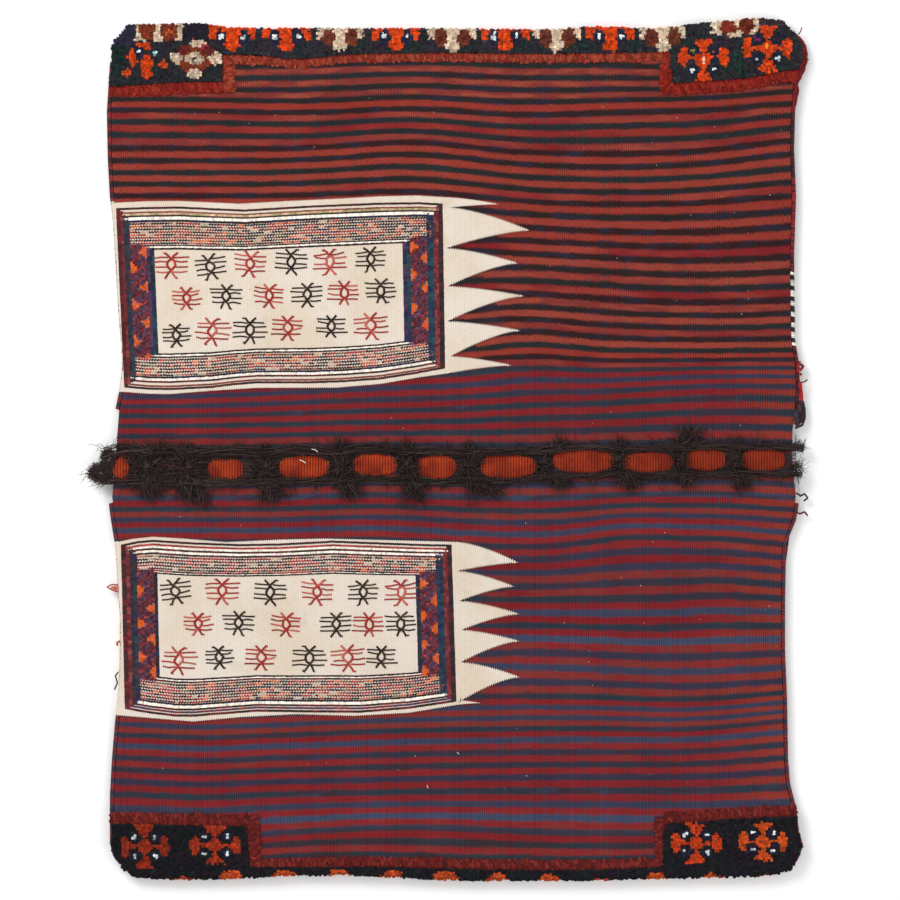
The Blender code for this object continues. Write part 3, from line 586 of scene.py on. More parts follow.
def slab(top, thick, start):
    """A thin closed body under a grid of points: its points and faces."""
    rows, columns = top.shape[:2]
    low = top - (0.0, 0.0, thick)
    verts = np.concatenate([top.reshape(-1, 3), low.reshape(-1, 3)])
    count = rows * columns
    faces = grid_faces(rows, columns, start, flip=True)
    faces += grid_faces(rows, columns, start + count)
    last_row = start + count - columns
    edges = [(range(start, start + columns - 1), 1, False),
             (range(last_row, last_row + columns - 1), 1, True),
             (range(start, last_row, columns), columns, True),
             (range(start + columns - 1, start + count - 1, columns), columns, False)]
    for places, step, turned in edges:
        for a in places:
            face = [a, a + step, a + step + count, a + count]
            faces.append(face[::-1] if turned else face)
    return verts, faces


def gather(slabs):
    """Several bodies as one list of points and one of faces."""
    verts, faces, start = [], [], 0
    for top, thick in slabs:
        more, more_faces = slab(top, thick, start)
        verts.append(more)
        faces += more_faces
        start += len(more)
    return np.concatenate(verts), faces


def cream_wool():
    """Undyed wool with faint ribs, a little uneven and soiled; the ribs carry painted shade,
    lighter on their crests and darker between.
    """
    material, shader, start = start_material("cream_wool", 0.92, 0.05)
    place = start.node("ShaderNodeTexCoord", {}, output=3)
    across = start.node("ShaderNodeSeparateXYZ", {0: place})
    crest = (across * (2 * math.pi / RIB)).cosine()
    grain = weave_noise(across, across.second(), (110.0, 620.0), 0.0, 1.0)
    cloud = place.noise(11.0, 3.0)
    stain = place.noise(34.0, 2.0).step_from(0.62, 0.78)
    colour = cloud.step_from(0.35, 0.7).mixed(dyed(217, 205, 192), dyed(210, 194, 174))
    colour = (stain * 0.35).mixed(colour, dyed(190, 172, 146))
    # Painted shade on the ribs: the crest term makes them lighter on their crests and darker
    # between. grain is the wool's own uneven tone.
    shade = 0.95 + crest * 0.075 + (grain - 0.5) * 0.22
    finish_material(shader, start, colour.scaled(shade), crest * 0.5 + grain, 0.0003, 0.45)
    return material


def build_panel(name, panel, teeth):
    """Ground of one panel: its body and its teeth."""
    first, last = 110, panel["cream_top"][-1][0]
    columns = 2 * round((last - first) * SQUARE / RIB) + 1
    down = np.linspace(0.0, 1.0, 19)[:, None]
    share = np.linspace(0.0, 1.0, columns)[None, :]
    left_x = side_at(LEFT_SIDE, spot(0, ground_row(panel, 200, down))[1]) + SEAM_ROOM * 0.35
    roots = np.array([tooth[0] for tooth in teeth] + [teeth[-1][2]], float)
    root_columns = np.interp(ground_row(panel, 445, down), roots[:, 1], roots[:, 0])
    right_x = spot(root_columns + 0.6, 0)[0]
    x = left_x + (right_x - left_x) * share
    column = x / SQUARE + PLAN_MIDDLE[0]
    ragged = every_other(columns, -0.6, 0.6)
    top = line_at(panel["cream_top"], column) - ragged
    bottom = line_at(panel["cream_bottom"], column) + ragged
    y = spot(0, top + (bottom - top) * down)[1]
    rib = every_other(columns, -1.0, 1.0) * PANEL_RIB
    slabs = [(surface(x, y, PANEL_LIFT + PANEL_THICK + rib), PANEL_THICK)]
    for upper, tip, lower in teeth:
        count = 2 * round((tip[0] - upper[0]) * SQUARE / RIB) + 1
        along = np.linspace(0.0, 1.0, count)[None, :]
        ragged = every_other(count, -1.0, 1.0) * (along > 0.06) * (along < 0.97)
        ragged = ragged * min(1.0, (lower[1] - upper[1]) / 20.0)
        high = upper[1] + (tip[1] - upper[1]) * along ** 1.5 - ragged * 0.95
        low = lower[1] + (tip[1] - lower[1]) * (1 - (1 - along) ** 1.5) + ragged * 0.95
        low = np.maximum(low, high + 0.15)
        part = np.linspace(0.0, 1.0, 5)[:, None]
        root = upper[0] - 0.1 + (lower[0] - upper[0]) * part
        tooth_x, tooth_y = spot(root + (tip[0] - root) * along, high + (low - high) * part)
        rib = ragged * TOOTH_RIB
        slabs.append((surface(tooth_x, tooth_y, PANEL_LIFT + PANEL_THICK + rib), PANEL_THICK))
    verts, faces = gather(slabs)
    return make_mesh(name, verts, faces, CREAM_WOOL)


CREAM_WOOL = cream_wool()
for which, teeth in zip(("upper", "lower"), TEETH):
    ground = build_panel("cream_ground_" + which, PANELS[which], teeth)
    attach(ground, "root")
    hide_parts("cream_panel_" + which)

# ---------------------------------------------------------------------------------------------
# The wrapped weft on the panels. Short coloured stitches laid over the cream ground: lines of the
# frame, speckled rows above and below the field, and a zigzag with orange corners at its sides.
# ---------------------------------------------------------------------------------------------
STITCH_LIFT = PANEL_LIFT + PANEL_THICK
STITCH_HEIGHT = 0.0007
PAD_SIDES = 4
PAD_SHOULDER = 0.72
# Pitch and length of the stitches, in squares, and how far their widths are spread
LINE_STITCH = (2.0, 3.0, 1.3)
COLUMN_STITCH = (2.2, 3.2, 1.2)
INNER_STITCH = (2.6, 3.2, 1.15)
SPECKLE_STITCH = (2.75, 2.6, 1.75)
SPECKLE_ROW = 2.9
SPECKLE_LEAN = 0.42
ZIGZAG_ROW = 2.1
ZIGZAG_COLUMNS = 8
ZIGZAG_STITCH = (3.2, 2.3)
ZIGZAG_LEAN = 0.62
DOWN = 1.57
# How deep an orange corner is, as a share of the zigzag's width, and half its height
CORNER = (0.48, 6.4)
RED = (150, 52, 50)
DARK_RED = (96, 38, 40)
ORANGE = (192, 82, 34)
NAVY = (40, 42, 66)
TEAL = (38, 62, 74)
PURPLE = (78, 54, 80)
OLIVE = (150, 140, 100)
INK = (48, 36, 34)
MILK = (230, 220, 206)


def strewing_tree():
    """Geometry nodes that set a turned, sized and dyed copy of a shape at each point."""
    tree = bpy.data.node_groups.new("strew_copies", "GeometryNodeTree")
    face = tree.interface
    face.new_socket("Places", in_out="INPUT", socket_type="NodeSocketGeometry")
    face.new_socket("Shape", in_out="INPUT", socket_type="NodeSocketObject")
    face.new_socket("Looseness", in_out="INPUT", socket_type="NodeSocketFloat")
    face.new_socket("Wool", in_out="INPUT", socket_type="NodeSocketMaterial")
    face.new_socket("Copies", in_out="OUTPUT", socket_type="NodeSocketGeometry")
    nodes, links = tree.nodes, tree.links
    source = nodes.new("NodeGroupInput")
    shape = nodes.new("GeometryNodeObjectInfo")
    links.new(source.outputs["Shape"], shape.inputs["Object"])
    random = nodes.new("FunctionNodeRandomValue")
    random.data_type = "FLOAT_VECTOR"
    random.inputs["Min"].default_value = (-1.0, -1.0, -0.4)
    random.inputs["Max"].default_value = (1.0, 1.0, 0.4)
    random.inputs["Seed"].default_value = 7
    loose = nodes.new("ShaderNodeVectorMath")
    loose.operation = "SCALE"
    links.new(random.outputs["Value"], loose.inputs[0])
    links.new(source.outputs["Looseness"], loose.inputs["Scale"])
    moved = nodes.new("GeometryNodeSetPosition")
    links.new(source.outputs["Places"], moved.inputs["Geometry"])
    links.new(loose.outputs["Vector"], moved.inputs["Offset"])
    copies = nodes.new("GeometryNodeInstanceOnPoints")
    links.new(moved.outputs["Geometry"], copies.inputs["Points"])
    links.new(shape.outputs["Geometry"], copies.inputs["Instance"])
    for name, socket in (("turn", "Rotation"), ("stretch", "Scale")):
        named = nodes.new("GeometryNodeInputNamedAttribute")
        named.data_type = "FLOAT_VECTOR"
        named.inputs["Name"].default_value = name
        links.new(named.outputs["Attribute"], copies.inputs[socket])
    real = nodes.new("GeometryNodeRealizeInstances")
    links.new(copies.outputs["Instances"], real.inputs["Geometry"])
    dressed = nodes.new("GeometryNodeSetMaterial")
    links.new(real.outputs["Geometry"], dressed.inputs["Geometry"])
    links.new(source.outputs["Wool"], dressed.inputs["Material"])
    result = nodes.new("NodeGroupOutput")
    links.new(dressed.outputs["Geometry"], result.inputs["Copies"])
    return tree


STREWING = strewing_tree()


def strew(name, shape, places, turns, sizes, tints, looseness, wool):
    """Copies of a shape as one plain piece that rides with the bag."""
    mesh = bpy.data.meshes.new(name + "_places")
    mesh.from_pydata(np.asarray(places, float).tolist(), [], [])
    for key, kind, field, values in (("turn", "FLOAT_VECTOR", "vector", turns),
                                     ("stretch", "FLOAT_VECTOR", "vector", sizes),
                                     ("tint", "FLOAT_COLOR", "color", tints)):
        layer = mesh.attributes.new(key, kind, "POINT")
        layer.data.foreach_set(field, np.asarray(values, np.float32).ravel())
    carrier = bpy.data.objects.new(name + "_places", mesh)
    bpy.context.scene.collection.objects.link(carrier)
    modifier = carrier.modifiers.new("strew", "NODES")
    modifier.node_group = STREWING
    given = {"Shape": shape, "Looseness": looseness, "Wool": wool}
    for item in STREWING.interface.items_tree:
        if item.item_type == "SOCKET" and item.in_out == "INPUT" and item.name in given:
            modifier[item.identifier] = given[item.name]
    ready = carrier.evaluated_get(bpy.context.evaluated_depsgraph_get())
    result = bpy.data.meshes.new_from_object(ready)
    result.name = name
    carrier.modifiers.remove(modifier)
    bpy.data.objects.remove(carrier)
    for key in ("turn", "stretch"):
        if key in result.attributes:
            result.attributes.remove(result.attributes[key])
    result.polygons.foreach_set("use_smooth", [True] * len(result.polygons))
    piece = bpy.data.objects.new(name, result)
    bpy.context.scene.collection.objects.link(piece)
    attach(piece, "root")
    return piece


def dome(name, middle):
    """A small closed pad of length and width 1 and height 1, to be sized where it is set."""
    verts = []
    corner = 0.5 / math.cos(math.pi / PAD_SIDES)
    for share, height in ((corner, 0.0), (corner * middle, PAD_SHOULDER)):
        for k in range(PAD_SIDES):
            turn = 2 * math.pi * (k + 0.5) / PAD_SIDES
            verts.append((share * math.cos(turn), share * math.sin(turn), height))
    verts.append((0.0, 0.0, 1.0))
    faces = [list(range(PAD_SIDES))[::-1]]
    for k in range(PAD_SIDES):
        n = (k + 1) % PAD_SIDES
        faces.append([k, n, PAD_SIDES + n, PAD_SIDES + k])
        faces.append([PAD_SIDES + k, PAD_SIDES + n, 2 * PAD_SIDES])
    piece = make_mesh(name, verts, faces)
    piece.hide_render = True
    return piece


def tinted_wool(name, sheen, fuzz):
    """Wool that takes its colour from each stitch or knot."""
    material, shader, start = start_material(name, 0.93, sheen)
    tint = start.node("ShaderNodeAttribute", {}, attribute_name="tint")
    place = start.node("ShaderNodeTexCoord", {}, output=3)
    grain = place.noise(1100.0, 2.0)
    cloud = place.noise(60.0, 1.0)
    shade = 0.86 + grain * 0.2 + cloud * 0.1
    finish_material(shader, start, tint.scaled(shade), grain, fuzz, 0.6)
    return material


STITCH = dome("stitch_shape", 0.90)
WRAPPING_WOOL = tinted_wool("wrapping_wool", 0.05, 0.0003)


class Stitches:
    """Stitches of one panel, kept until they are all sewn at once."""

    def __init__(self, panel, seed):
        self.panel = panel
        self.chance = np.random.default_rng(seed)
        self.rows = []

    def run(self, start, end, pitch, length, width, colours, patch, slant=0.0):
        """A row of stitches from start to end, in squares.

        Colours are taken by chance, and each is held for up to a patch of stitches.
        """
        start = np.array(start, float)
        end = np.array(end, float)
        total = float(np.hypot(*(end - start)))
        count = max(1, round(total / pitch))
        base = math.atan2(end[1] - start[1], end[0] - start[0])
        held = 0
        for i in range(count):
            if held == 0:
                colour = colours[self.chance.integers(len(colours))]
                held = self.chance.integers(1, patch + 1)
            held -= 1
            at = start + (end - start) * (i + 0.5) / count
            self.add(at, base + slant, length, width, colour)

    def add(self, at, angle, length, width, colour):
        """One stitch, its colour a little lighter or darker by chance."""
        tone = 1.0 + self.chance.normal(0.0, 0.07)
        self.rows.append((at[0], at[1], angle, length, width,
                          colour[0] * tone, colour[1] * tone, colour[2] * tone))

    def sew(self, name):
        """Set all the stitches on the panel at once."""
        rows = np.array(self.rows)
        x, y = panel_spot(self.panel, rows[:, 0], rows[:, 1])
        ahead_x, ahead_y = panel_spot(self.panel, rows[:, 0] + 0.5 * np.cos(rows[:, 2]),
                                      rows[:, 1] + 0.5 * np.sin(rows[:, 2]))
        angle = np.arctan2(ahead_y - y, ahead_x - x)
        turns = np.stack([0 * angle, 0 * angle, angle], 1)
        sizes = np.stack([rows[:, 3] * SQUARE * 1.08, rows[:, 4] * SQUARE * 1.12,
                          np.full(len(rows), STITCH_HEIGHT)], 1)
        tints = [dyed(*np.clip(row[5:8], 0, 255)) for row in rows]
        return strew(name, STITCH, surface(x, y, STITCH_LIFT - 0.0001), turns, sizes, tints,
                     0.00018, WRAPPING_WOOL)


MIXED = [RED, RED, (140, 58, 46), (190, 92, 50), (40, 36, 48), (40, 36, 48), (60, 54, 66), RED,
         (170, 100, 86), INK, INK, INK, (112, 92, 66), DARK_RED, (124, 46, 44), (88, 74, 64),
         (176, 150, 130)]
ZIGZAG_DYES = (PURPLE, (84, 38, 42), (116, 44, 46), (58, 50, 68), (92, 42, 44))
# Columns of the frame at the left and at the right: from and to, in squares from its outer edge
LEFT_COLUMNS = ((-0.2, 3.1, [DARK_RED, (72, 34, 38), (60, 40, 40)]),
                (2.9, 5.9, [DARK_RED, (124, 60, 60), (104, 42, 44), (96, 38, 40)]),
                (5.6, 8.6, [(44, 42, 52), (58, 44, 50), (40, 54, 60)]),
                (8.2, 11.4, [NAVY, (42, 56, 62), (62, 44, 52)]))
RIGHT_COLUMNS = ((0.0, 4.2, [(52, 38, 40), (70, 38, 40), (44, 36, 42)]),
                 (4.2, 6.4, [DARK_RED, (120, 58, 58), (100, 40, 42)]),
                 (6.2, 8.8, [DARK_RED, (118, 52, 56)]), (8.8, 12.2, [TEAL, NAVY, (34, 50, 62)]),
                 (12.2, 15.6, [NAVY, TEAL, (38, 48, 70)]))
FRAMES = {
    "upper": {
        # Lines along the top and the bottom: how deep, where they start and stop, colours, width
        "top": [(0.0, 0, 0, [INK, (72, 40, 40)], 1.5),
                (4.1, 2, 2, [(126, 70, 58), (96, 50, 46)], 1.1),
                (5.8, 3, 3, [OLIVE, (190, 160, 130)], 1.6), (7.7, 4, 4, [INK, (60, 46, 44)], 1.2),
                (10.1, 6, 9, [MILK], 2.3), (12.5, 8, 10, [INK, NAVY], 1.7),
                (36.6, 28, 33, [INK], 1.1), (38.0, 32, 36, [MILK], 1.4),
                (39.5, 34, 38, [INK], 1.5)],
        "bottom": [(0.0, 0, 0, [INK, (72, 40, 40)], 1.5),
                   (2.5, 2, 2, [(126, 60, 56), (110, 56, 50)], 1.2),
                   (6.6, 4, 4, [DARK_RED, INK], 1.2), (9.0, 6, 9, [MILK], 2.0),
                   (10.8, 8, 10, [INK, NAVY], 1.5), (30.6, 28, 33, [INK], 1.3),
                   (32.0, 32, 36, [MILK], 1.3), (33.4, 34, 38, [INK], 1.3)],
        # Where the left zigzag runs, and the columns between the zigzags and the field
        "zigzag": (11.2, 28.0),
        "inner_left": [(28.0, 30.9, [PURPLE, (70, 50, 74), NAVY]),
                       (31.0, 33.2, [(34, 44, 48), NAVY, TEAL]),
                       (33.2, 35.4, [(34, 44, 48), NAVY, TEAL])],
        "inner_right": [(36.2, 39.8, [PURPLE, NAVY, (60, 44, 66)]),
                        (32.4, 36.2, [TEAL, NAVY, (40, 66, 70)])],
        # Orange corners of the left and the right zigzag: side (-1 left, 1 right) and depth
        "corners": ([(1, 42.6), (-1, 58.4), (1, 77), (-1, 94), (1, 111), (-1, 130), (1, 146)],
                    [(-1, 44.7), (1, 57), (-1, 73.7), (1, 88), (-1, 107.8), (1, 126.5)]),
    },
    "lower": {
        "top": [(0.0, 0, 0, [INK, (60, 40, 44)], 1.5),
                (3.4, 4, 2, [(160, 60, 60), (130, 50, 50)], 1.3),
                (5.6, 6, 3, [MILK], 1.2), (7.6, 9, 4, [INK, (90, 46, 50)], 1.3),
                (9.6, 11, 9, [MILK], 1.7),
                (11.4, 14, 10, [INK, (80, 44, 50)], 1.5), (27.8, 31, 33, [RED, INK], 1.2),
                (28.8, 32, 34, [MILK], 0.6), (29.6, 33, 35, [INK], 1.3)],
        "bottom": [(0.0, 0, 0, [INK, DARK_RED], 1.6), (3.0, 4, 2, [(120, 48, 56), PURPLE], 1.4),
                   (5.6, 7, 4, [DARK_RED, INK], 1.3), (8.0, 11, 9, [MILK], 2.2),
                   (10.0, 14, 10, [INK, NAVY], 1.5), (31.0, 31, 33, [INK, DARK_RED], 1.2),
                   (32.4, 32, 34, [MILK], 0.9), (33.4, 33, 35, [INK], 1.5)],
        "zigzag": (14.3, 31.6),
        "inner_left": [(31.6, 34.6, [(40, 40, 50), INK, NAVY])],
        "inner_right": [(32.4, 36.2, [(36, 50, 56), NAVY, (40, 44, 50)])],
        "corners": ([(-1, 46), (1, 63.4), (-1, 78), (1, 92), (-1, 109.5), (1, 123)],
                    [(-1, 38.4), (1, 55.7), (-1, 71), (1, 84.7), (-1, 100.5), (1, 114.7),
                     (-1, 127)]),
    },
}


def sew_columns(sewn, columns, mirrored, widen, top, bottom, stitch):
    """Upright rows of wrapping at one side; top and bottom are (how deep, more each square in)."""
    width, height = sewn.panel["size"]
    pitch, length, spread = stitch
    for near, far, colours in columns:
        middle = widen * (near + far) / 2
        across = width - middle if mirrored else middle
        sewn.run((across, top[0] + near * top[1]), (across, height - bottom[0] - near * bottom[1]),
                 pitch, length, widen * (far - near) * spread, colours, 3 if top[1] else 6)


def sew_zigzag(sewn, left, right, low, high, tips):
    """One zigzag: slanted stitches in purple and red with orange corners at its tips."""
    count = round((high - low) / ZIGZAG_ROW)
    for row in range(count):
        down = low + (high - low) * (row + 0.5) / count
        nearest = min(tips, key=lambda tip: abs(tip[1] - down))
        lean = ZIGZAG_LEAN if (down > nearest[1]) == (nearest[0] < 0) else -ZIGZAG_LEAN
        for k in range(ZIGZAG_COLUMNS):
            part = (k + 0.5) / ZIGZAG_COLUMNS
            colour = None
            for side, middle in tips:
                depth = part if side < 0 else 1 - part
                away = abs(down - middle) / CORNER[1] + depth / CORNER[0]
                if away < 1.0 and depth > 0.04:
                    colour = ORANGE if sewn.chance.random() > 0.3 else (176, 92, 62)
                elif away < 1.0:
                    colour = NAVY
            if colour is None:
                colour = ZIGZAG_DYES[int(part * 5 + down * 0.42) % 5]
                colour = np.array(colour) * sewn.chance.normal(0.98, 0.14)
            sewn.add((left + (right - left) * part, down), DOWN if colour is ORANGE else lean,
                     *ZIGZAG_STITCH, colour)


def sew_frame(which, seed):
    """All the wrapped weft of one panel."""
    frame_plan = FRAMES[which]
    sewn = Stitches(PANELS[which], seed)
    width, height = sewn.panel["size"]
    zigzag = frame_plan["zigzag"]
    top_lines, bottom_lines = frame_plan["top"], frame_plan["bottom"]
    pitch, length, spread = LINE_STITCH
    for lines in (top_lines, bottom_lines):
        for depth, left, right, colours, thick in lines:
            down = depth if lines is top_lines else height - depth
            sewn.run((left, down), (width - right, down), pitch, length, thick * spread, colours, 6)
    top_end, bottom_end = top_lines[-3][0], bottom_lines[-3][0]
    for near, far in ((top_lines[-4][0], top_end),
                      (height - bottom_end, height - bottom_lines[-4][0])):
        rows = max(1, round((far - near - 1.6) / SPECKLE_ROW))
        for k in range(rows):
            down = near + 1.3 + (far - near - 2.2) * (k + 0.5) / rows
            sewn.run((zigzag[0] + 0.3, down), (width - 11.0, down), *SPECKLE_STITCH, MIXED, 3,
                     SPECKLE_LEAN if k % 2 else -SPECKLE_LEAN)
    stretch = zigzag[0] / FRAMES["upper"]["zigzag"][0]
    sew_columns(sewn, LEFT_COLUMNS, False, stretch, (0, 0.9), (0, 0.9), COLUMN_STITCH)
    sew_columns(sewn, RIGHT_COLUMNS, True, 1.0, (0, 0.75), (0, 0.75), COLUMN_STITCH)
    low, high = top_end - 1.0, height - bottom_end + 1.0
    for (left, right), tips in zip((zigzag, (width - 32.4, width - 15.8)), frame_plan["corners"]):
        sew_zigzag(sewn, left, right, low, high, tips)
    ends = (top_end + 2.0, 0), (bottom_end + 2.0, 0)
    sew_columns(sewn, frame_plan["inner_left"], False, 1.0, *ends, INNER_STITCH)
    sew_columns(sewn, frame_plan["inner_right"], True, 1.0, *ends, INNER_STITCH)
    return sewn.sew("wrapped_frame_" + which)


for which, seed in (("upper", 3), ("lower", 4)):
    wrapping = sew_frame(which, seed)

# ---------------------------------------------------------------------------------------------
# The small figures in the cream fields, sewn in dark brown and madder yarn: an open lozenge with
# crossed arms above and below it and four lines to each side.
# ---------------------------------------------------------------------------------------------
YARN_LIFT = STITCH_LIFT + 0.0003
YARN_SIDES = 5
FIGURES = {
    "red": [(171, 265), (250, 263.5), (329.5, 261.5), (186.4, 298), (269, 295.5), (344, 292.5),
            (212, 331), (287.5, 327.5), (371, 325.5), (222, 591), (317, 591.5), (401, 592),
            (198, 623.5), (286, 624), (369, 624), (178.5, 660), (261, 657), (348, 657.5)],
    "brown": [(210, 266.5), (291, 261.5), (370.5, 259), (226, 296), (307, 294.5), (381, 290.5),
              (176, 335), (250, 330), (331, 326), (175, 591), (270, 592), (363, 592),
              (238.5, 622.5), (336, 624), (401, 623.5), (219, 657), (309.5, 658), (381, 656.5)],
}
FIGURE_DYES = {"red": [(154, 50, 44), (142, 42, 38), (176, 86, 76)],
               "brown": [(46, 34, 28), (36, 28, 26), (60, 46, 38)]}


def tubes(paths, squash):
    """Closed yarns along paths of (points, radius, colour): points, faces and colour a point."""
    verts, faces, tints = [], [], []
    sides = YARN_SIDES
    turn = 2 * np.pi * (np.arange(sides) + 0.5) / sides
    for points, radius, colour in paths:
        points = np.asarray(points, float)
        ahead = np.gradient(points, axis=0)
        ahead /= np.linalg.norm(ahead, axis=1)[:, None] + 1e-12
        up = np.where(np.abs(ahead[:, 2:3]) > 0.9, [[0.0, 1.0, 0.0]], [[0.0, 0.0, 1.0]])
        side = np.cross(ahead, up)
        side /= np.linalg.norm(side, axis=1)[:, None]
        top = np.cross(side, ahead)
        ring = (points[:, None, :] + side[:, None, :] * (np.cos(turn)[None, :, None] * radius)
                + top[:, None, :] * (np.sin(turn)[None, :, None] * radius * squash))
        start = len(verts)
        verts.extend(ring.reshape(-1, 3).tolist())
        tints.extend([colour] * (len(points) * sides))
        for i in range(len(points) - 1):
            a = start + i * sides
            for k in range(sides):
                n = (k + 1) % sides
                faces.append([a + k, a + sides + k, a + sides + n, a + n])
        faces.append([start + k for k in range(sides)])
        end = start + (len(points) - 1) * sides
        faces.append([end + k for k in range(sides)][::-1])
    return verts, faces, tints


def yarn_piece(name, paths, wool, squash=1.0):
    """Yarns along paths as one dyed piece that rides with the bag."""
    verts, faces, tints = tubes(paths, squash)
    piece = make_mesh(name, verts, faces, wool, tints)
    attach(piece, "root")
    return piece


def figure_yarns(column, row, dyes, chance):
    """The yarns of one figure, each a little uneven."""
    tilt = chance.normal(0.0, 0.05)
    size = chance.normal(1.0, 0.04)
    paths = []

    def sew(points, thick):
        bent = []
        for across, down in points:
            across = (across + chance.normal(0.0, 0.45)) * size
            down = (down + chance.normal(0.0, 0.35)) * size
            x, y = spot(column + across - down * tilt, row + down + across * tilt)
            bent.append((float(x), float(y), 0.0))
        bent = np.array(bent)
        bent[:, 2] = surface(bent[:, 0], bent[:, 1], YARN_LIFT)[:, 2]
        colour = dyed(*(np.array(dyes[chance.integers(len(dyes))]) * chance.normal(1.0, 0.06)))
        paths.append((bent, thick * SQUARE / 2, colour))

    for side in (-1, 1):
        sew([(side * 0.1, -5.6), (side * 2.7, -3.2), (side * 4.0, -0.2), (side * 2.8, 3.2),
             (side * 0.1, 5.6)], 2.5)
        sew([(side * -0.4, -5.2), (side * 2.4, -8.4), (side * 5.6, -11.6)], 2.2)
        sew([(side * -0.4, 5.2), (side * 2.4, 8.8), (side * 5.0, 12.8)], 2.2)
        if chance.random() < 0.6:
            sew([(side * 4.8, -11.2), (side * 7.0, -11.2)], 1.6)
            sew([(side * 4.2, 12.4), (side * 6.6, 12.8)], 1.6)
        for down, near in ((-6.9, 2.0), (-3.0, 3.6), (2.1, 3.6), (6.7, 2.0)):
            reach = chance.normal(15.2, 0.9)
            lift = chance.normal(0.0, 0.5)
            sew([(side * near, down), (side * (near + reach) / 2, down + lift * 0.4),
                 (side * reach, down + lift - 0.3)], 1.6)
    return paths


FIGURE_WOOL = tinted_wool("figure_wool", 0.05, 0.0002)
for which, low, high in (("upper", 0, 500), ("lower", 500, 900)):
    chance = np.random.default_rng(11)
    paths = []
    for dye, places in FIGURES.items():
        for column, row in places:
            if low < row < high:
                paths += figure_yarns(column, row, FIGURE_DYES[dye], chance)
    figures = yarn_piece("sewn_figures_" + which, paths, FIGURE_WOOL, 0.7)

# ---------------------------------------------------------------------------------------------
# The knotted pile. Dark blue wool knots over both folded ends, deeper at the corners, with orange
# and cream flowers and a row of medallions, each knot a short tuft that leans and spreads.
# ---------------------------------------------------------------------------------------------
KNOT = 0.0034
PILE = 0.0056
PILE_GAP = 0.0003
UNDER = 0.022
KNOT_LEAN = 0.16
PILE_INSET = 0.0035
# Rows of the plan that the design runs on for each radian round the fold
ROUND_ROWS = 3.2
MIDNIGHT = (38, 32, 44)
FLAME = (206, 66, 22)
RUST = (128, 54, 34)
BONE = (208, 184, 158)
SNOW = (216, 222, 222)

# Where the pile stops on the plan: column, then row of its inner edge
TOP_REACH = [(100, 86), (150, 83), (190, 80.5), (221, 80), (222.5, 53), (260, 53.5), (285, 57.5),
             (316, 56.5), (350, 52.5), (410, 52), (450, 51), (520, 52.5), (600, 52), (668, 50.5),
             (671, 50.5), (672.5, 82), (700, 80), (740, 77.5), (785, 69), (810, 66)]
BOTTOM_REACH = [(100, 825), (180, 826), (246, 827.5), (248, 868), (300, 868.5), (360, 868),
                (420, 869), (480, 871), (540, 871.5), (600, 871), (662, 868), (665, 825),
                (720, 821), (795, 817.5), (810, 817)]


def flower(column, row, across, up, petal, eyes=(SNOW,) * 4, side_up=0.0):
    """The simple shapes of one flower: a heart, four petals on thin arms, four eyes between."""
    shapes = [("box", column, row - side_up, across * 0.9, up * 0.09, petal),
              ("box", column, row, across * 0.055, up * 0.9, petal),
              ("round", column, row, across * 0.30, up * 0.38, petal)]
    for side in (-1, 1):
        shapes.append(("round", column + side * across * 0.83, row - side_up, across * 0.20,
                       up * 0.54, petal))
        shapes.append(("fan", column, row + side * up * 0.84, across * 0.42, side * up * 0.30,
                       petal))
    corners = [(side, end) for end in (-1, 1) for side in (-1, 1)]
    for (side, end), eye in zip(corners, eyes):
        x, y = column + side * across * 0.45, row + end * up * 0.50
        shapes += [("round", x, y, across * 0.21, up * 0.30, (34, 34, 50)),
                   ("round", x, y, across * 0.085, up * 0.12, eye)]
    return shapes


def medallion(column, dye, eye_ring, eye, eye_size):
    """One medallion of the top band: a field with two eyes that runs down to a point."""
    shapes = [("box", column, 30.0, 23.5, 9.5, dye), ("box", column, 42.0, 8.0, 4.5, dye),
              ("round", column, 45.5, 7.5, 6.0, dye)]
    for side in (-1, 1):
        shapes += [("round", column + side * 11.4, 38.4, eye_size, eye_size * 1.25, eye_ring),
                   ("round", column + side * 11.4, 36.8, 2.2, 2.8, eye)]
    return shapes


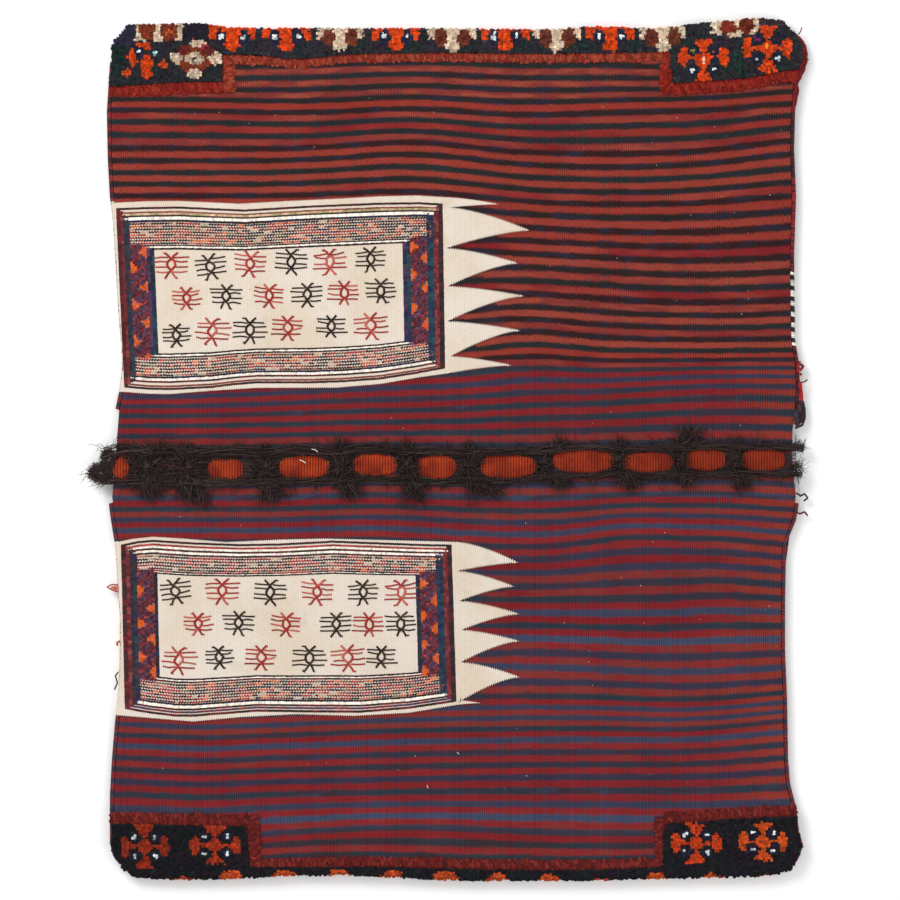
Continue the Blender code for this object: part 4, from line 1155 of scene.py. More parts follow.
TOP_SHAPES = []
for centre in (232.5, 286.5, 396.0, 505.0, 610.0):
    TOP_SHAPES += medallion(centre, FLAME, (38, 38, 58), SNOW, 5.9)
for centre in (340.0, 452.5, 557.0, 663.0):
    TOP_SHAPES += medallion(centre, BONE, (104, 50, 36), (88, 44, 34), 6.8)
TOP_SHAPES += [
    # upper left corner
    ("box", 160, 30, 24, 11, BONE), ("round", 147.5, 31, 8.2, 9.5, RUST),
    ("round", 169, 32.5, 9.0, 10.0, RUST),
    ("round", 169, 33, 3, 3.5, (190, 80, 36)), ("box", 195.5, 31, 12.5, 10, MIDNIGHT),
    ("box", 123, 34, 13, 12, (44, 42, 58)), ("box", 118, 62, 9, 14, (30, 42, 40)),
    ("round", 144, 46, 7.5, 4.0, FLAME), ("round", 132.5, 58, 4.6, 8.5, FLAME),
    ("round", 127, 73, 5.5, 3.6, (208, 74, 36)),
    ("round", 163.5, 65, 4.6, 5.0, (214, 76, 30)), ("round", 147, 64, 5.5, 10.5, FLAME),
    ("round", 147, 74, 6.8, 4.6, FLAME),
    ("round", 140, 51.5, 4.6, 4.6, (28, 34, 66)), ("round", 139.4, 51.3, 1.7, 2.1, SNOW),
    ("round", 155.4, 53.6, 5.0, 4.6, (26, 44, 52)),
    ("round", 155.4, 53.6, 1.8, 2.0, (170, 200, 196)),
    ("diamond", 195.0, 59, 22, 21, RUST), ("round", 176, 59, 5.6, 6.6, BONE),
    ("round", 215, 59, 6.6, 6.6, BONE),
    ("round", 198.5, 43.5, 8.0, 4.6, BONE), ("round", 194.5, 74, 7.0, 5.0, BONE),
    ("round", 205, 48, 4.0, 4.0, (150, 44, 50)),
    ("round", 194.5, 58.7, 9.4, 6.2, BONE), ("round", 194.5, 58.5, 2.0, 2.4, (60, 60, 40)),
    ("round", 183.5, 50, 6.0, 4.6, (104, 38, 36)), ("round", 208, 51, 6.0, 4.2, (96, 36, 34)),
    # upper right corner
    ("box", 735, 24.5, 24, 9.8, BONE), ("diamond", 728.5, 29, 10.0, 10.0, (124, 44, 34)),
    ("diamond", 746.5, 26, 9.0, 11.0, (104, 42, 30)), ("box", 733, 34.5, 6.5, 2.0, BONE),
    ("box", 772, 23, 12, 4.0, (56, 46, 52)), ("box", 740, 62, 5, 12, (34, 50, 46)),
]
TOP_SHAPES += flower(703.5, 61.0, 24.0, 19.0, FLAME, ((120, 112, 60), (140, 70, 40), SNOW, SNOW),
                     4.0)
TOP_SHAPES += flower(767.5, 49.0, 24.0, 20.0, FLAME,
                     ((118, 40, 90), (60, 40, 46), (150, 190, 186), SNOW), 1.0)
TOP_SHAPES += [("round", 703.5, 60.4, 1.6, 3.2, (236, 190, 160)),
               ("round", 767.5, 47.5, 1.6, 3.0, (226, 130, 50))]
BOTTOM_SHAPES = (flower(145.0, 846.5, 23.5, 19.0, (148, 46, 26)) + flower(215.5, 845.0, 25.0, 16.5,
                                                                          (164, 52, 26))
                 + flower(696.1, 842.8, 24.5, 17.5, (184, 58, 24)) + flower(762.8, 841.3, 23.5,
                                                                            17.0, (190, 74, 28)))
for centre, middle in ((180, 880), (231.5, 876), (285, 875), (339, 874.5), (391.5, 876),
                       (445.5, 876.5),
                       (498, 879), (549, 879.5), (603, 881), (656, 877.5), (711, 877.5),
                       (765, 878)):
    BOTTOM_SHAPES.append(("round", centre, middle, 12.5, 5.4, (180, 70, 32)))


def design(shapes, column, row, ground):
    """Colour of each knot, by the last of the simple shapes that it lies in."""
    colours = np.broadcast_to(ground, (len(column), 3)).astype(float).copy()
    for kind, middle, height, half_width, half_height, dye in shapes:
        across = np.abs(column - middle) / half_width
        down = (row - height) / half_height
        if kind == "round":
            inside = across ** 2 + down ** 2 < 1
        elif kind == "diamond":
            inside = across + np.abs(down) < 1
        elif kind == "fan":
            inside = (np.abs(down) < 1) & (across < 0.66 + 0.34 * down)
        else:
            inside = (across < 1) & (np.abs(down) < 1)
        colours[inside] = dye
    return colours


def pile_path(end, inner_y, edge_y):
    """Places along the pile's section from its inner edge, over the fold, to its underside."""
    centre = edge_y - end * FOLD_ROOM
    middle = (CLOTH_TOP + RAISED_LOW) / 2
    radius = (CLOTH_TOP - RAISED_LOW) / 2
    points = []
    y = inner_y
    while end * (centre - y) > 0:
        points.append((y, CLOTH_TOP, 0.0))
        y += end * KNOT
    turns = round(math.pi * (radius + FOLD_RADIUS) / KNOT)
    for k in range(turns + 1):
        turn = math.pi * k / turns
        points.append((centre + end * radius * math.sin(turn), middle + radius * math.cos(turn),
                       turn))
    y = centre - end * KNOT
    while end * (centre - y) < UNDER:
        points.append((y, RAISED_LOW, math.pi))
        y -= end * KNOT
    return points


def knot_pile(name, end, reach, shapes, grounds, seed):
    """All the knots of one end, set row by row over the fold."""
    chance = np.random.default_rng(seed)
    places, turns, colours, sizes = [], [], [], []
    fold = TOP_EDGE if end > 0 else BOTTOM_EDGE
    columns = np.arange(106.0, 806.0, KNOT / SQUARE)
    for column in columns:
        x = float(spot(column, 0)[0])
        edge_y = float(end_at(fold, x))
        inner_y = float(spot(0, line_at(reach, column))[1])
        if end * (edge_y - inner_y) < FOLD_ROOM:
            inner_y = edge_y - end * (FOLD_ROOM + 0.001)
        shift = chance.uniform(0, 0.0008)
        for y, z, turn in pile_path(end, inner_y + end * shift, edge_y + end * SQUARE):
            if not side_at(LEFT_SIDE, y) + PILE_INSET < x < side_at(RIGHT_SIDE, y) - PILE_INSET:
                continue
            row = PLAN_MIDDLE[1] - y / SQUARE
            if turn > 0:
                row = PLAN_MIDDLE[1] - (edge_y - end * FOLD_ROOM) / SQUARE - end * turn * ROUND_ROWS
            places.append((x, y, z + (PILE_GAP if turn < 1.5 else -PILE_GAP)))
            turns.append((-end * turn + chance.normal(0, KNOT_LEAN) - end * 0.12,
                          chance.normal(0, KNOT_LEAN), chance.uniform(0, 6.28)))
            tall = PILE * chance.uniform(0.80, 1.0) * (0.9 if turn > 2 else 1.0)
            wide = KNOT * chance.uniform(1.3, 1.55)
            sizes.append((wide, wide, tall))
            colours.append((column, row))
    colours = np.array(colours)
    ground = grounds[0] + (grounds[1] - grounds[0]) * (
        0.5 + 0.5 * np.sin(colours[:, 0] / 9.0) * np.cos(colours[:, 1] / 7.0))[:, None]
    dyes = design(shapes, colours[:, 0] + chance.normal(0, 0.5, len(colours)),
                  colours[:, 1] + chance.normal(0, 0.4, len(colours)), (0, 0, 0))
    plain = dyes.sum(1) < 1
    dyes[plain] = ground[plain]
    dyes[colours[:, 0] < 222] *= 0.92
    dyes *= chance.normal(0.92, 0.12, (len(dyes), 1))
    dyes += chance.normal(0.0, 3.0, dyes.shape)
    tints = [dyed(*np.clip(row, 4, 255)) for row in dyes]
    return strew(name, TUFT, places, turns, sizes, tints, 0.0003, PILE_WOOL)


TUFT = dome("tuft_shape", 0.88)
PILE_WOOL = tinted_wool("knotted_wool", 0.04, 0.0014)
NIGHT = {"top": np.array([(50, 40, 50), (34, 44, 44)], float),
         "bottom": np.array([(32, 25, 32), (24, 28, 30)], float)}
for name, end, reach, shapes, seed in (("top", 1, TOP_REACH, TOP_SHAPES, 21),
                                       ("bottom", -1, BOTTOM_REACH, BOTTOM_SHAPES, 22)):
    pile = knot_pile("knotted_pile_" + name, end, reach, shapes, NIGHT[name], seed)
    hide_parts("pile_band_" + name)

# ---------------------------------------------------------------------------------------------
# The red borders. Thick rows of wool wrapped side by side over the cloth, just inside the pile,
# up and down the steps of its corners.
# ---------------------------------------------------------------------------------------------
BORDER_LINES = {
    "top": [[(109.5, 91), (150, 89.5), (190, 87), (223, 86.5)],
            [(229.5, 92), (229, 75), (229.5, 60)],
            [(224, 59.5), (260, 60.5), (296, 63.5), (320, 61.5), (345, 58), (400, 57), (450, 57),
             (520, 58), (600, 57.5), (661, 56)],
            [(666, 51), (666, 70), (666, 93)],
            [(672, 89.5), (700, 87), (740, 84.5), (785, 76), (797, 74.5)]],
    "bottom": [[(110, 819), (180, 819.5), (247, 821)],
               [(254, 816), (254, 840), (255, 866)],
               [(251, 865), (300, 864), (360, 862.5), (420, 863.5), (480, 865), (540, 866),
                (600, 865.5), (658, 864)],
               [(660.5, 867), (660.5, 840), (660.5, 816)],
               [(665, 819), (720, 815), (797, 811)]],
}


def points_along(line, pitch):
    """Places at an even pitch along a line on the plan, in metres, and the way it runs there."""
    x, y = spot(*np.array(line, float).T)
    lengths = np.concatenate([[0.0], np.cumsum(np.hypot(np.diff(x), np.diff(y)))])
    at = np.arange(pitch / 2, lengths[-1], pitch)
    (px, py), (ahead_x, ahead_y), (back_x, back_y) = (
        (np.interp(at + shift, lengths, x), np.interp(at + shift, lengths, y))
        for shift in (0.0, WAY_REACH, -WAY_REACH))
    return px, py, np.arctan2(ahead_y - back_y, ahead_x - back_x)


BORDER_PITCH = 0.0026
BORDER_HALF = 0.0046
NARROW_HALF = 0.0034
WAY_REACH = 0.004
BORDER_WOOL = tinted_wool("border_wool", 0.02, 0.0007)
BORDER_DYES = {"top": [(130, 34, 25), (118, 28, 22), (136, 39, 28), (110, 26, 22), (124, 31, 24),
                       (138, 46, 32)],
               "bottom": [(112, 36, 32), (98, 30, 28), (120, 44, 36), (88, 28, 28), (104, 32, 30),
                          (82, 28, 28)]}
BROWNER = [(142, 58, 40), (128, 46, 34), (150, 64, 44), (116, 40, 30), (134, 44, 34), (146, 66, 48)]
for which, lines in BORDER_LINES.items():
    chance = np.random.default_rng(31)
    places, turns, sizes, tints = [], [], [], []
    for number, line in enumerate(lines):
        narrow = which == "top" and number == 2
        dyes = BROWNER if which == "top" and number in (1, 2) else BORDER_DYES[which]
        for layer, offset in ((0, -1), (0, 1), (1, 0)):
            x, y, way = points_along(line, BORDER_PITCH)
            off = offset * (NARROW_HALF if narrow else BORDER_HALF) + chance.normal(0, 0.0011,
                                                                                    len(x))
            px, py = x - np.sin(way) * off, y + np.cos(way) * off
            low = surface(px, py, 0.0006 + 0.0009 * layer)
            for k in range(len(x)):
                places.append(low[k])
                turns.append((chance.normal(0, 0.07), chance.normal(0, 0.07),
                              way[k] + math.pi / 2 + 0.3 + chance.normal(0, 0.3)))
                sizes.append((chance.uniform(0.0068, 0.0098) * (0.8 if narrow else 1.0), 0.0037,
                              chance.uniform(0.0013, 0.0018)))
                dye = np.array(dyes[chance.integers(len(dyes))])
                tints.append(dyed(*(dye * chance.normal(0.94, 0.05))))
    border = strew("red_border_" + which, TUFT, places, turns, sizes, tints, 0.0003, BORDER_WOOL)
    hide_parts("wrapped_border_" + which)

# ---------------------------------------------------------------------------------------------
# The bridge between the bags. Blocks of orange tapestry with upright ribs, edged by two cords of
# dark goat hair, and ten closing loops of goat hair lashed through, each with a frayed tail.
# ---------------------------------------------------------------------------------------------
BLOCK_RIB = 0.0039
BLOCK_THICK = 0.0028
BLOCK_RISE = 0.0022
HAIR_RADIUS = 0.00048
HAIR_SIDES = 3
HAIR_LIFT = 0.0004
CORD_MIDDLE = 0.0042
CORD_BASE = 0.0007
HAIR_REACH = (0.03, 0.075)
BUNCHES = 9
CURL = 0.5
RING_REACH = 0.0158
RING_HIGH = 0.0055
RING_HAIRS = 60
# Each block's first and last column, the row of its middle and its half height
BLOCKS = [(112, 130, 467.5, 9.0), (208, 244, 468.6, 10.6), (279, 330, 467, 10.9),
          (352.5, 398, 464.8, 10.0),
          (417, 457, 467, 11.3), (480, 537, 466.5, 11.2), (553, 615, 460.6, 11.8),
          (623, 674, 462, 9.6),
          (685, 726, 459.6, 10.8), (742, 785, 459.8, 11.0)]
LASH_COLUMNS = (148, 189.5, 266, 340, 407, 468, 545, 619, 680, 734)


def bridge_row(column):
    """Row of the middle of the bridge's band at a column of the plan."""
    first, last, rows, _ = np.array(BLOCKS).T
    return np.interp(column, (first + last) / 2, rows)


def orange_wool():
    """Orange wool over upright ribs with painted shade on them, lighter on their crests and darker
    between, and a little browner to the right.
    """
    material, shader, start = start_material("orange_wool", 0.92, 0.06)
    place = start.node("ShaderNodeTexCoord", {}, output=3)
    across = start.node("ShaderNodeSeparateXYZ", {0: place})
    grain = weave_noise(across, across.second(), (180.0, 900.0), 0.0, 2.0)
    crest = (across * (2 * math.pi / BLOCK_RIB)).cosine()
    cloud = place.noise(40.0, 2.0)
    colour = across.step_from(-0.1, 0.35).mixed(dyed(176, 64, 32), dyed(148, 52, 28))
    colour = cloud.step_from(0.3, 0.75).mixed(colour, dyed(122, 38, 24))
    # Painted shade on the upright ribs: the crest term makes them lighter on their crests and
    # darker between. grain is the wool's own uneven tone.
    shade = 0.78 + crest * 0.34 + (grain - 0.5) * 0.7
    finish_material(shader, start, colour.scaled(shade), grain, 0.0004, 0.6)
    return material


slabs = []
for first, last, middle, tall in BLOCKS:
    count = 2 * max(3, round((last - first) * SQUARE / BLOCK_RIB)) + 1
    column = np.linspace(first, last, count)[None, :]
    share = np.linspace(-1.0, 1.0, 9)[:, None]
    part = (column - (first + last) / 2) / ((last - first) / 2)
    lens = (1 - np.abs(part) ** np.where(part > 0, 2.2, 4.5)) ** 0.6
    half = 3.0 + (tall - 2.4) * np.clip(lens, 0.0, 1.0)
    uneven = 0.5 * np.sin(column / 2.3 + first) + 0.4 * np.sin(column * 1.1)
    row = middle + share * (half + uneven)
    x, y = spot(column + 0 * row, row)
    rise = BLOCK_RISE * (1 - share ** 4) + every_other(count, -0.0007, 0.0005)
    slabs.append((surface(x, y, 0.0012 + rise), BLOCK_THICK))
verts, faces = gather(slabs)
blocks = make_mesh("orange_blocks", verts, faces, orange_wool())
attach(blocks, "root")
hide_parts("orange_bridge_band")


def hair_material():
    """Dark brown goat hair with a slight shine, dyed strand by strand."""
    material, shader, start = start_material("goat_hair", 0.62, 0.0)
    tint = start.node("ShaderNodeAttribute", {}, attribute_name="tint")
    shader.inputs["Specular IOR Level"].default_value = 0.3
    finish_material(shader, start, tint)
    return material


GOAT_HAIR = hair_material()
HAIR_DYES = [(42, 28, 26), (30, 20, 19), (54, 38, 34), (26, 18, 18), (66, 50, 44), (46, 30, 28)]


def hairs(strands, seed):
    """Closed hairs along strands (count, points, 3): points, faces, colours."""
    chance = np.random.default_rng(seed)
    count, steps, _ = strands.shape
    ahead = np.gradient(strands, axis=1)
    ahead /= np.linalg.norm(ahead, axis=2)[..., None] + 1e-12
    side = np.cross(ahead, chance.normal(size=(count, 1, 3)))
    side /= np.linalg.norm(side, axis=2)[..., None] + 1e-12
    other = np.cross(ahead, side)
    taper = np.linspace(1.0, 0.45, steps)[None, :, None, None] * HAIR_RADIUS
    turn = 2 * np.pi * np.arange(HAIR_SIDES) / HAIR_SIDES
    cosine, sine = np.cos(turn)[:, None], np.sin(turn)[:, None]
    ring = strands[:, :, None, :] + taper * (side[:, :, None, :] * cosine
                                             + other[:, :, None, :] * sine)
    verts = ring.reshape(-1, 3)
    start = (np.arange(count) * steps * HAIR_SIDES)[:, None]
    faces = []
    for a in (start + i * HAIR_SIDES for i in range(steps - 1)):
        for k in range(HAIR_SIDES):
            n = (k + 1) % HAIR_SIDES
            faces.append(np.concatenate([a + k, a + n, a + HAIR_SIDES + n, a + HAIR_SIDES + k], 1))
    faces = np.concatenate(faces).tolist()
    faces += np.concatenate([start + 2, start + 1, start], 1).tolist()
    end = start + (steps - 1) * HAIR_SIDES
    faces += np.concatenate([end, end + 1, end + 2], 1).tolist()
    picked = np.array([dyed(*dye) for dye in HAIR_DYES])[chance.integers(len(HAIR_DYES),
                                                                         size=count)]
    tone = chance.uniform(0.7, 1.3, (count, 1))
    colours = np.concatenate([np.clip(picked[:, :3] * tone, 0, 1), np.ones((count, 1))], 1)
    return verts, faces, np.repeat(colours, steps * HAIR_SIDES, axis=0)


def hair_piece(name, groups):
    """Groups of strands as one piece that rides with the bag."""
    all_verts, all_faces, all_tints, start = [], [], [], 0
    for seed, strands in enumerate(groups):
        verts, faces, tints = hairs(strands, 41 + seed)
        all_verts.append(verts)
        all_faces += [[index + start for index in face] for face in faces]
        all_tints.append(tints)
        start += len(verts)
    piece = make_mesh(name, np.concatenate(all_verts), all_faces, GOAT_HAIR,
                      np.concatenate(all_tints))
    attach(piece, "root")
    return piece


def settled(x, y, z):
    """Strands as points, kept a little above the cloth."""
    return np.stack([x, y, np.maximum(z, CLOTH_TOP + lie(x, y) + HAIR_LIFT)], 2)


def cord_strands(line, thick, count, seed, steps):
    """Hairs that run along a cord: line of (column, row, half thickness)."""
    chance = np.random.default_rng(seed)
    columns, rows, halves = np.array(line, float).T
    begin = chance.uniform(columns[0] - 3, columns[-1] - 8, count)
    length = chance.uniform(*HAIR_REACH, count) / SQUARE
    share = np.linspace(0, 1, steps)[None, :]
    column = np.minimum(begin[:, None] + length[:, None] * share, columns[-1] + 4)
    turn = chance.uniform(0, 2 * math.pi, count)[:, None]
    turn = turn + share * chance.uniform(-2.2, 2.2, count)[:, None]
    out = np.sqrt(chance.uniform(0, 1, count))[:, None]
    out = out * (1 + 0.35 * share * chance.random((count, 1)) ** 3)
    half = np.interp(column, columns, halves)
    row = np.interp(column, columns, rows) + np.cos(turn) * out * half
    x, y = spot(column, row)
    z = CLOTH_TOP + thick + np.sin(turn) * out * half * SQUARE * 0.75
    return settled(x, y, z)


def burst(column, row, half, count, seed, length, aim, spread, rise, steps=4, high=0.006):
    """Hairs that spring from an oval spot; aim is an angle on the plan, or None for all round."""
    chance = np.random.default_rng(seed)
    turn = chance.uniform(0, 2 * math.pi, count)
    out = np.sqrt(chance.uniform(0, 1, count))
    root_column = column + np.cos(turn) * out * half[0]
    root_row = row + np.sin(turn) * out * half[1]
    if aim is None:
        way = turn + chance.normal(0, 0.5, count)
    else:
        way = aim + chance.normal(0, spread, count)
    far = chance.uniform(*length, count)
    share = np.linspace(0, 1, steps)[None, :]
    if aim is not None:
        way = aim + (way - aim) * (0.35 + 0.65 * np.abs(np.cos(turn)))
        bunch = chance.integers(BUNCHES, size=count)
        way = 0.45 * way + 0.55 * (aim + chance.normal(0, 0.8 * spread, BUNCHES)[bunch])
        far = far * chance.uniform(0.6, 1.25, BUNCHES)[bunch]
    bend = chance.normal(0, CURL, count)[:, None]
    twist = way[:, None] + bend * share * 2.2
    step = far[:, None] / (steps - 1)
    path = []
    for root, turned in ((root_column, np.cos(twist)), (root_row, np.sin(twist))):
        along = root[:, None] + np.cumsum(turned * step, 1) - turned[:, :1] * step
        path.append(along + chance.normal(0, 0.25, along.shape))
    x, y = spot(*path)
    start_z = chance.uniform(0.0015, high, count)[:, None] * (1.15 - 0.6 * out[:, None])
    lift = chance.uniform(0.2, 1.0, count)[:, None] * rise
    z = CLOTH_TOP + start_z + lift * np.sin(share * 2.6) - (start_z * 0.8) * share ** 2
    return settled(x, y, z)


# Cords: each arches from lashing to lashing over the blocks and thins between them
upper_line, lower_line = [], []
stops = (103, *LASH_COLUMNS, 800)
for a, b in zip(stops, stops[1:]):
    for share in np.linspace(0, 1, 7)[:-1]:
        column = a + (b - a) * share
        arch = math.sin(math.pi * share)
        middle = float(bridge_row(column))
        above = np.interp(column, (150, 450, 600), (14.5, 13.8, 12.4))
        swing = np.interp(column, (150, 450, 600), (4.5, 2.5, 1.0))
        stout = np.interp(column, (150, 450, 600), (6.4, 5.2, 3.6))
        upper_line.append((column, middle - above - swing * arch, stout - 0.8 * arch))
        lower_line.append((column, middle + 13.6 + 1.4 * arch, 4.4 - 1.4 * arch))
upper_line.append((799, 448.5, 3.6))
lower_line.append((798, 474.0, 3.0))
lower_line = [(88, 473, 4.2), (96, 474, 6.5)] + lower_line
for which, line, count, seed in (("upper", upper_line, 1000, 51), ("lower", lower_line, 850, 52)):
    out = -1 if which == "upper" else 1
    base_line = [(column, float(bridge_row(column)) + out * 6.5, 7.5)
                 for column in range(112, 800, 40)]
    base = cord_strands(base_line, 0.0002, 800, seed + 30, 4)
    groups = [cord_strands(line, CORD_MIDDLE, count, seed, 6),
              base * (1, 1, 0) + (0, 0, CLOTH_TOP + CORD_BASE)]
    for number, (column, row, half) in enumerate(line[::2]):
        groups.append(burst(column, row, (6, half), 14, 60 + number, (6, 14), out * DOWN, 1.1,
                            0.003))
    if which == "lower":
        groups.append(burst(101, 473, (9, 6), 1250, 53, (4, 8), None, 3.0, 0.003))
        groups.append(burst(109, 459, (5, 8), 640, 54, (4, 7), None, 3.0, 0.003))
    else:
        groups.append(burst(795, 447, (6, 4), 90, 55, (5, 12), -0.2, 0.7, 0.002))
        groups.append(burst(794, 467, (6, 4), 90, 56, (5, 12), 0.1, 0.7, 0.002))
    cord = hair_piece("hair_cord_" + which, groups)
    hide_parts("goat_hair_cord_" + which)

# Tufts of each loop: spot, half size, hairs, length, angle on the plan, spread
TUFTS = [
    [(146, 466, (13, 15), 236, (8, 16), None, 0), (150, 480, (12, 8), 160, (12, 27), 1.5, 0.6),
     (160, 452, (14, 5), 76, (6, 14), -1.4, 0.8)],
    [(187, 468, (15, 14), 266, (8, 16), None, 0), (189, 484, (13, 8), 182, (12, 26), 1.35, 0.55),
     (200, 493, (6, 5), 61, (8, 20), 0.8, 0.5), (186, 452, (12, 5), 68, (6, 14), -1.5, 0.8)],
    [(264, 468, (10, 14), 213, (7, 13), None, 0), (268, 484, (9, 6), 144, (12, 27), 1.15, 0.35),
     (262, 452, (9, 5), 53, (6, 13), -1.6, 0.7)],
    [(341, 467, (9, 14), 205, (7, 13), None, 0), (345, 483, (9, 6), 144, (10, 24), 1.05, 0.4),
     (340, 449, (8, 5), 57, (6, 15), -1.5, 0.7)],
    [(407, 467, (8, 14), 190, (7, 12), None, 0), (411, 483, (8, 6), 137, (12, 27), 1.1, 0.35),
     (406, 449, (8, 4), 46, (6, 12), -1.6, 0.7)],
    [(470, 467, (9, 14), 198, (7, 12), None, 0), (475, 482, (9, 6), 122, (10, 22), 1.0, 0.45),
     (491, 488, (6, 4), 61, (8, 18), 0.6, 0.3), (470, 449, (8, 4), 46, (5, 11), -1.6, 0.7)],
    [(544, 465, (8, 15), 198, (7, 12), None, 0), (559, 478, (7, 5), 129, (7, 16), 1.2, 0.4),
     (558, 449, (6, 4), 114, (7, 15), -1.4, 0.45)],
    [(619, 464, (8, 14), 190, (7, 12), None, 0), (627, 476, (6, 5), 122, (9, 22), 1.35, 0.3),
     (618, 446, (8, 4), 46, (5, 12), -1.5, 0.7)],
    [(681, 463, (8, 14), 190, (7, 12), None, 0), (684, 476, (6, 4), 114, (7, 16), 1.3, 0.4),
     (686, 444, (9, 6), 160, (9, 24), -1.35, 0.75)],
    [(736, 462, (8, 14), 190, (7, 12), None, 0), (740, 478, (7, 4), 122, (7, 18), 1.2, 0.4),
     (735, 446, (8, 4), 53, (5, 12), -1.5, 0.7)],
]
for number, tufts in enumerate(TUFTS):
    groups = []
    for k, (column, row, half, count, length, aim, spread) in enumerate(tufts):
        if number > 5 and aim is None:
            half, count, length = (half[0] * 0.7, half[1] * 0.9), round(count * 0.6), (5, 9)
        groups.append(burst(column, row, half, count, 100 + 10 * number + k, length, aim, spread,
                            0.005, 5, 0.0095))
    x, y = spot(LASH_COLUMNS[number], bridge_row(LASH_COLUMNS[number]))
    chance = np.random.default_rng(90 + number)
    turn = np.linspace(0, 1, 12) * 2 * math.pi * 0.98
    ring = []
    for _ in range(RING_HAIRS):
        wander = chance.normal(0, 0.0016, 3)
        reach = RING_REACH + wander[1] * 0.5
        high = RING_HIGH + wander[2] * 0.4
        ring.append(np.stack([x + wander[0] * 1.8 + 0 * turn, y + reach * np.sin(turn),
                              CLOTH_TOP - 0.0045 + (high + 0.005) * np.cos(turn)], 1))
    groups.append(np.array(ring))
    loop = hair_piece("closing_loop_%02d" % (number + 1), groups)
    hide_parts("closure_loop_%02d" % (number + 1))

# ---------------------------------------------------------------------------------------------
# The side seams. Wool overcast round the edges of both layers, from each mouth to the fold, in
# red, dark and cream wool, with loose ends, a knot and a short fringe where it has come undone.
# ---------------------------------------------------------------------------------------------
SEAM_MIDDLE = 0.0080
SEAM_HALF = 0.0072
SEAM_WIDE = 0.0062
SEAM_YARN = 0.00135
SEAM_PITCH = 0.00215
SEAM_LEAN = 0.0022
SEAM_CORE = 0.0032
SEAM_SPAN = {"upper": (62, 409), "lower": (503.5, 864)}


def stripe_dye(side, row):
    """Colour of the stripe that runs out to the seam at a row of the plan."""
    y = float(spot(0, row)[1])
    number = float(stripe_number(y - pull(side * HALF_CLOTH, y)))
    if abs(number - round(number)) < 0.24:
        return (124, 40, 42)
    return (56, 38, 42) if number < 23 else (58, 54, 70)


def seam_dye(side, row, chance):
    """Colour of one overcast stitch, by side and row."""
    pick = chance.random()
    if side < 0:
        if 202 < row < 392 or 542 < row < 716:
            return (222, 208, 190) if pick < 0.86 else (150, 120, 108)
        return stripe_dye(side, row)
    if row < 112:
        return (124, 34, 40) if pick < 0.8 else (90, 30, 36)
    if row < 178:
        return (60, 34, 38) if pick < 0.7 else (96, 36, 38)
    if row < 252:
        return (132, 38, 42) if pick < 0.75 else (60, 36, 44)
    if 272 < row < 346:
        return (222, 216, 206) if int(row / 5.2) % 2 == 0 else (46, 38, 46)
    if row < 420 or pick < 0.3:
        return (112, 36, 40) if pick < 0.5 else (70, 36, 42)
    return stripe_dye(side, row)


SEAM_WOOL = tinted_wool("seam_wool", 0.10, 0.0005)
for part, (first, last) in SEAM_SPAN.items():
    for side, where, outline in ((-1, "left", LEFT_SIDE), (1, "right", RIGHT_SIDE)):
        chance = np.random.default_rng(71)
        paths = []
        row = first + 0.8
        while row < last:
            y = float(spot(0, row)[1])
            edge = float(side_at(outline, y)) - side * 0.0003
            tall = SEAM_HALF * chance.uniform(0.94, 1.04)
            wide = SEAM_WIDE * chance.uniform(0.92, 1.06)
            lean = SEAM_LEAN + chance.normal(0, 0.0003)
            points = []
            for k, turn in enumerate(np.linspace(-0.50, 0.50, 6) * math.pi):
                points.append((edge - side * wide + side * (wide - 0.0010) * math.cos(turn),
                               y + lean * (k / 5 - 0.5),
                               SEAM_MIDDLE + (tall - 0.0008) * math.sin(turn)))
            dye = np.array(seam_dye(side, row, chance)) * chance.normal(1.0, 0.09)
            paths.append((points, SEAM_YARN, dyed(*dye)))
            row += SEAM_PITCH / SQUARE
        heights = spot(0, np.linspace(first + 1.0, last - 1.0, 40))[1]
        core = [(float(side_at(outline, y)) - side * 0.0042, y, SEAM_MIDDLE) for y in heights]
        paths.append((core, SEAM_CORE, dyed(70, 32, 36)))
        seam = yarn_piece("overcast_%s_%s" % (part, where), paths, SEAM_WOOL)
        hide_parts("side_seam_%s_%s" % (part, where))

# Loose bits at the edges: dye, thickness in squares, and places on the plan
LOOSE = [
    ((136, 34, 40), 2.6,
     [(800, 362), (797, 366), (801, 370), (804, 366), (799, 363), (797, 371), (802, 375)]),
    ((158, 32, 32), 3.6, [(799.5, 382), (800.8, 388), (801.8, 395), (801.8, 401)]),
    ((52, 42, 46), 1.5, [(798.5, 381.5), (802, 382.5), (805.5, 381.5), (808, 379.5)]),
    ((60, 44, 48), 3.8, [(800.5, 400), (802.3, 407), (802.8, 414), (801, 421), (796, 426)]),
    ((70, 46, 46), 3.8, [(798.5, 405), (800, 412), (798.8, 419), (794, 424)]),
    ((54, 44, 52), 4.2, [(796, 409), (797, 415), (794, 421)]),
    ((46, 40, 46), 2.6, [(803, 401), (804.8, 409), (805, 418), (802.5, 425), (795, 428)]),
    ((66, 36, 40), 2.0, [(796, 493), (801, 496), (805, 494), (808, 498), (804, 501)]),
    ((80, 40, 44), 2.0, [(795, 511), (800, 514), (805, 512), (808, 516)]),
    ((150, 44, 50), 1.4, [(118, 585), (112, 584.5), (106.5, 587), (111, 590), (117, 592)]),
    ((190, 118, 108), 2.8, [(118.5, 587), (113, 587), (110.5, 588), (114, 589.5), (118.5, 590)]),
    ((176, 92, 60), 2.4, [(120, 641), (116.5, 643), (117, 646)]),
    ((48, 36, 40), 1.6, [(118, 672), (115, 676), (117, 683), (114, 690)]),
    ((222, 214, 204), 0.9, [(300, 460), (303, 461), (306, 463)]),
    ((222, 214, 204), 0.8, [(312, 449), (316, 450), (318, 452)]),
    ((214, 204, 196), 0.8, [(427, 785), (428, 788)]),
    ((214, 204, 196), 0.8, [(457, 752), (459, 754)]),
]
OVER_CLOTH = 0.0012
OVER_BRIDGE = 0.0135
EDGE_HEIGHT = 0.011
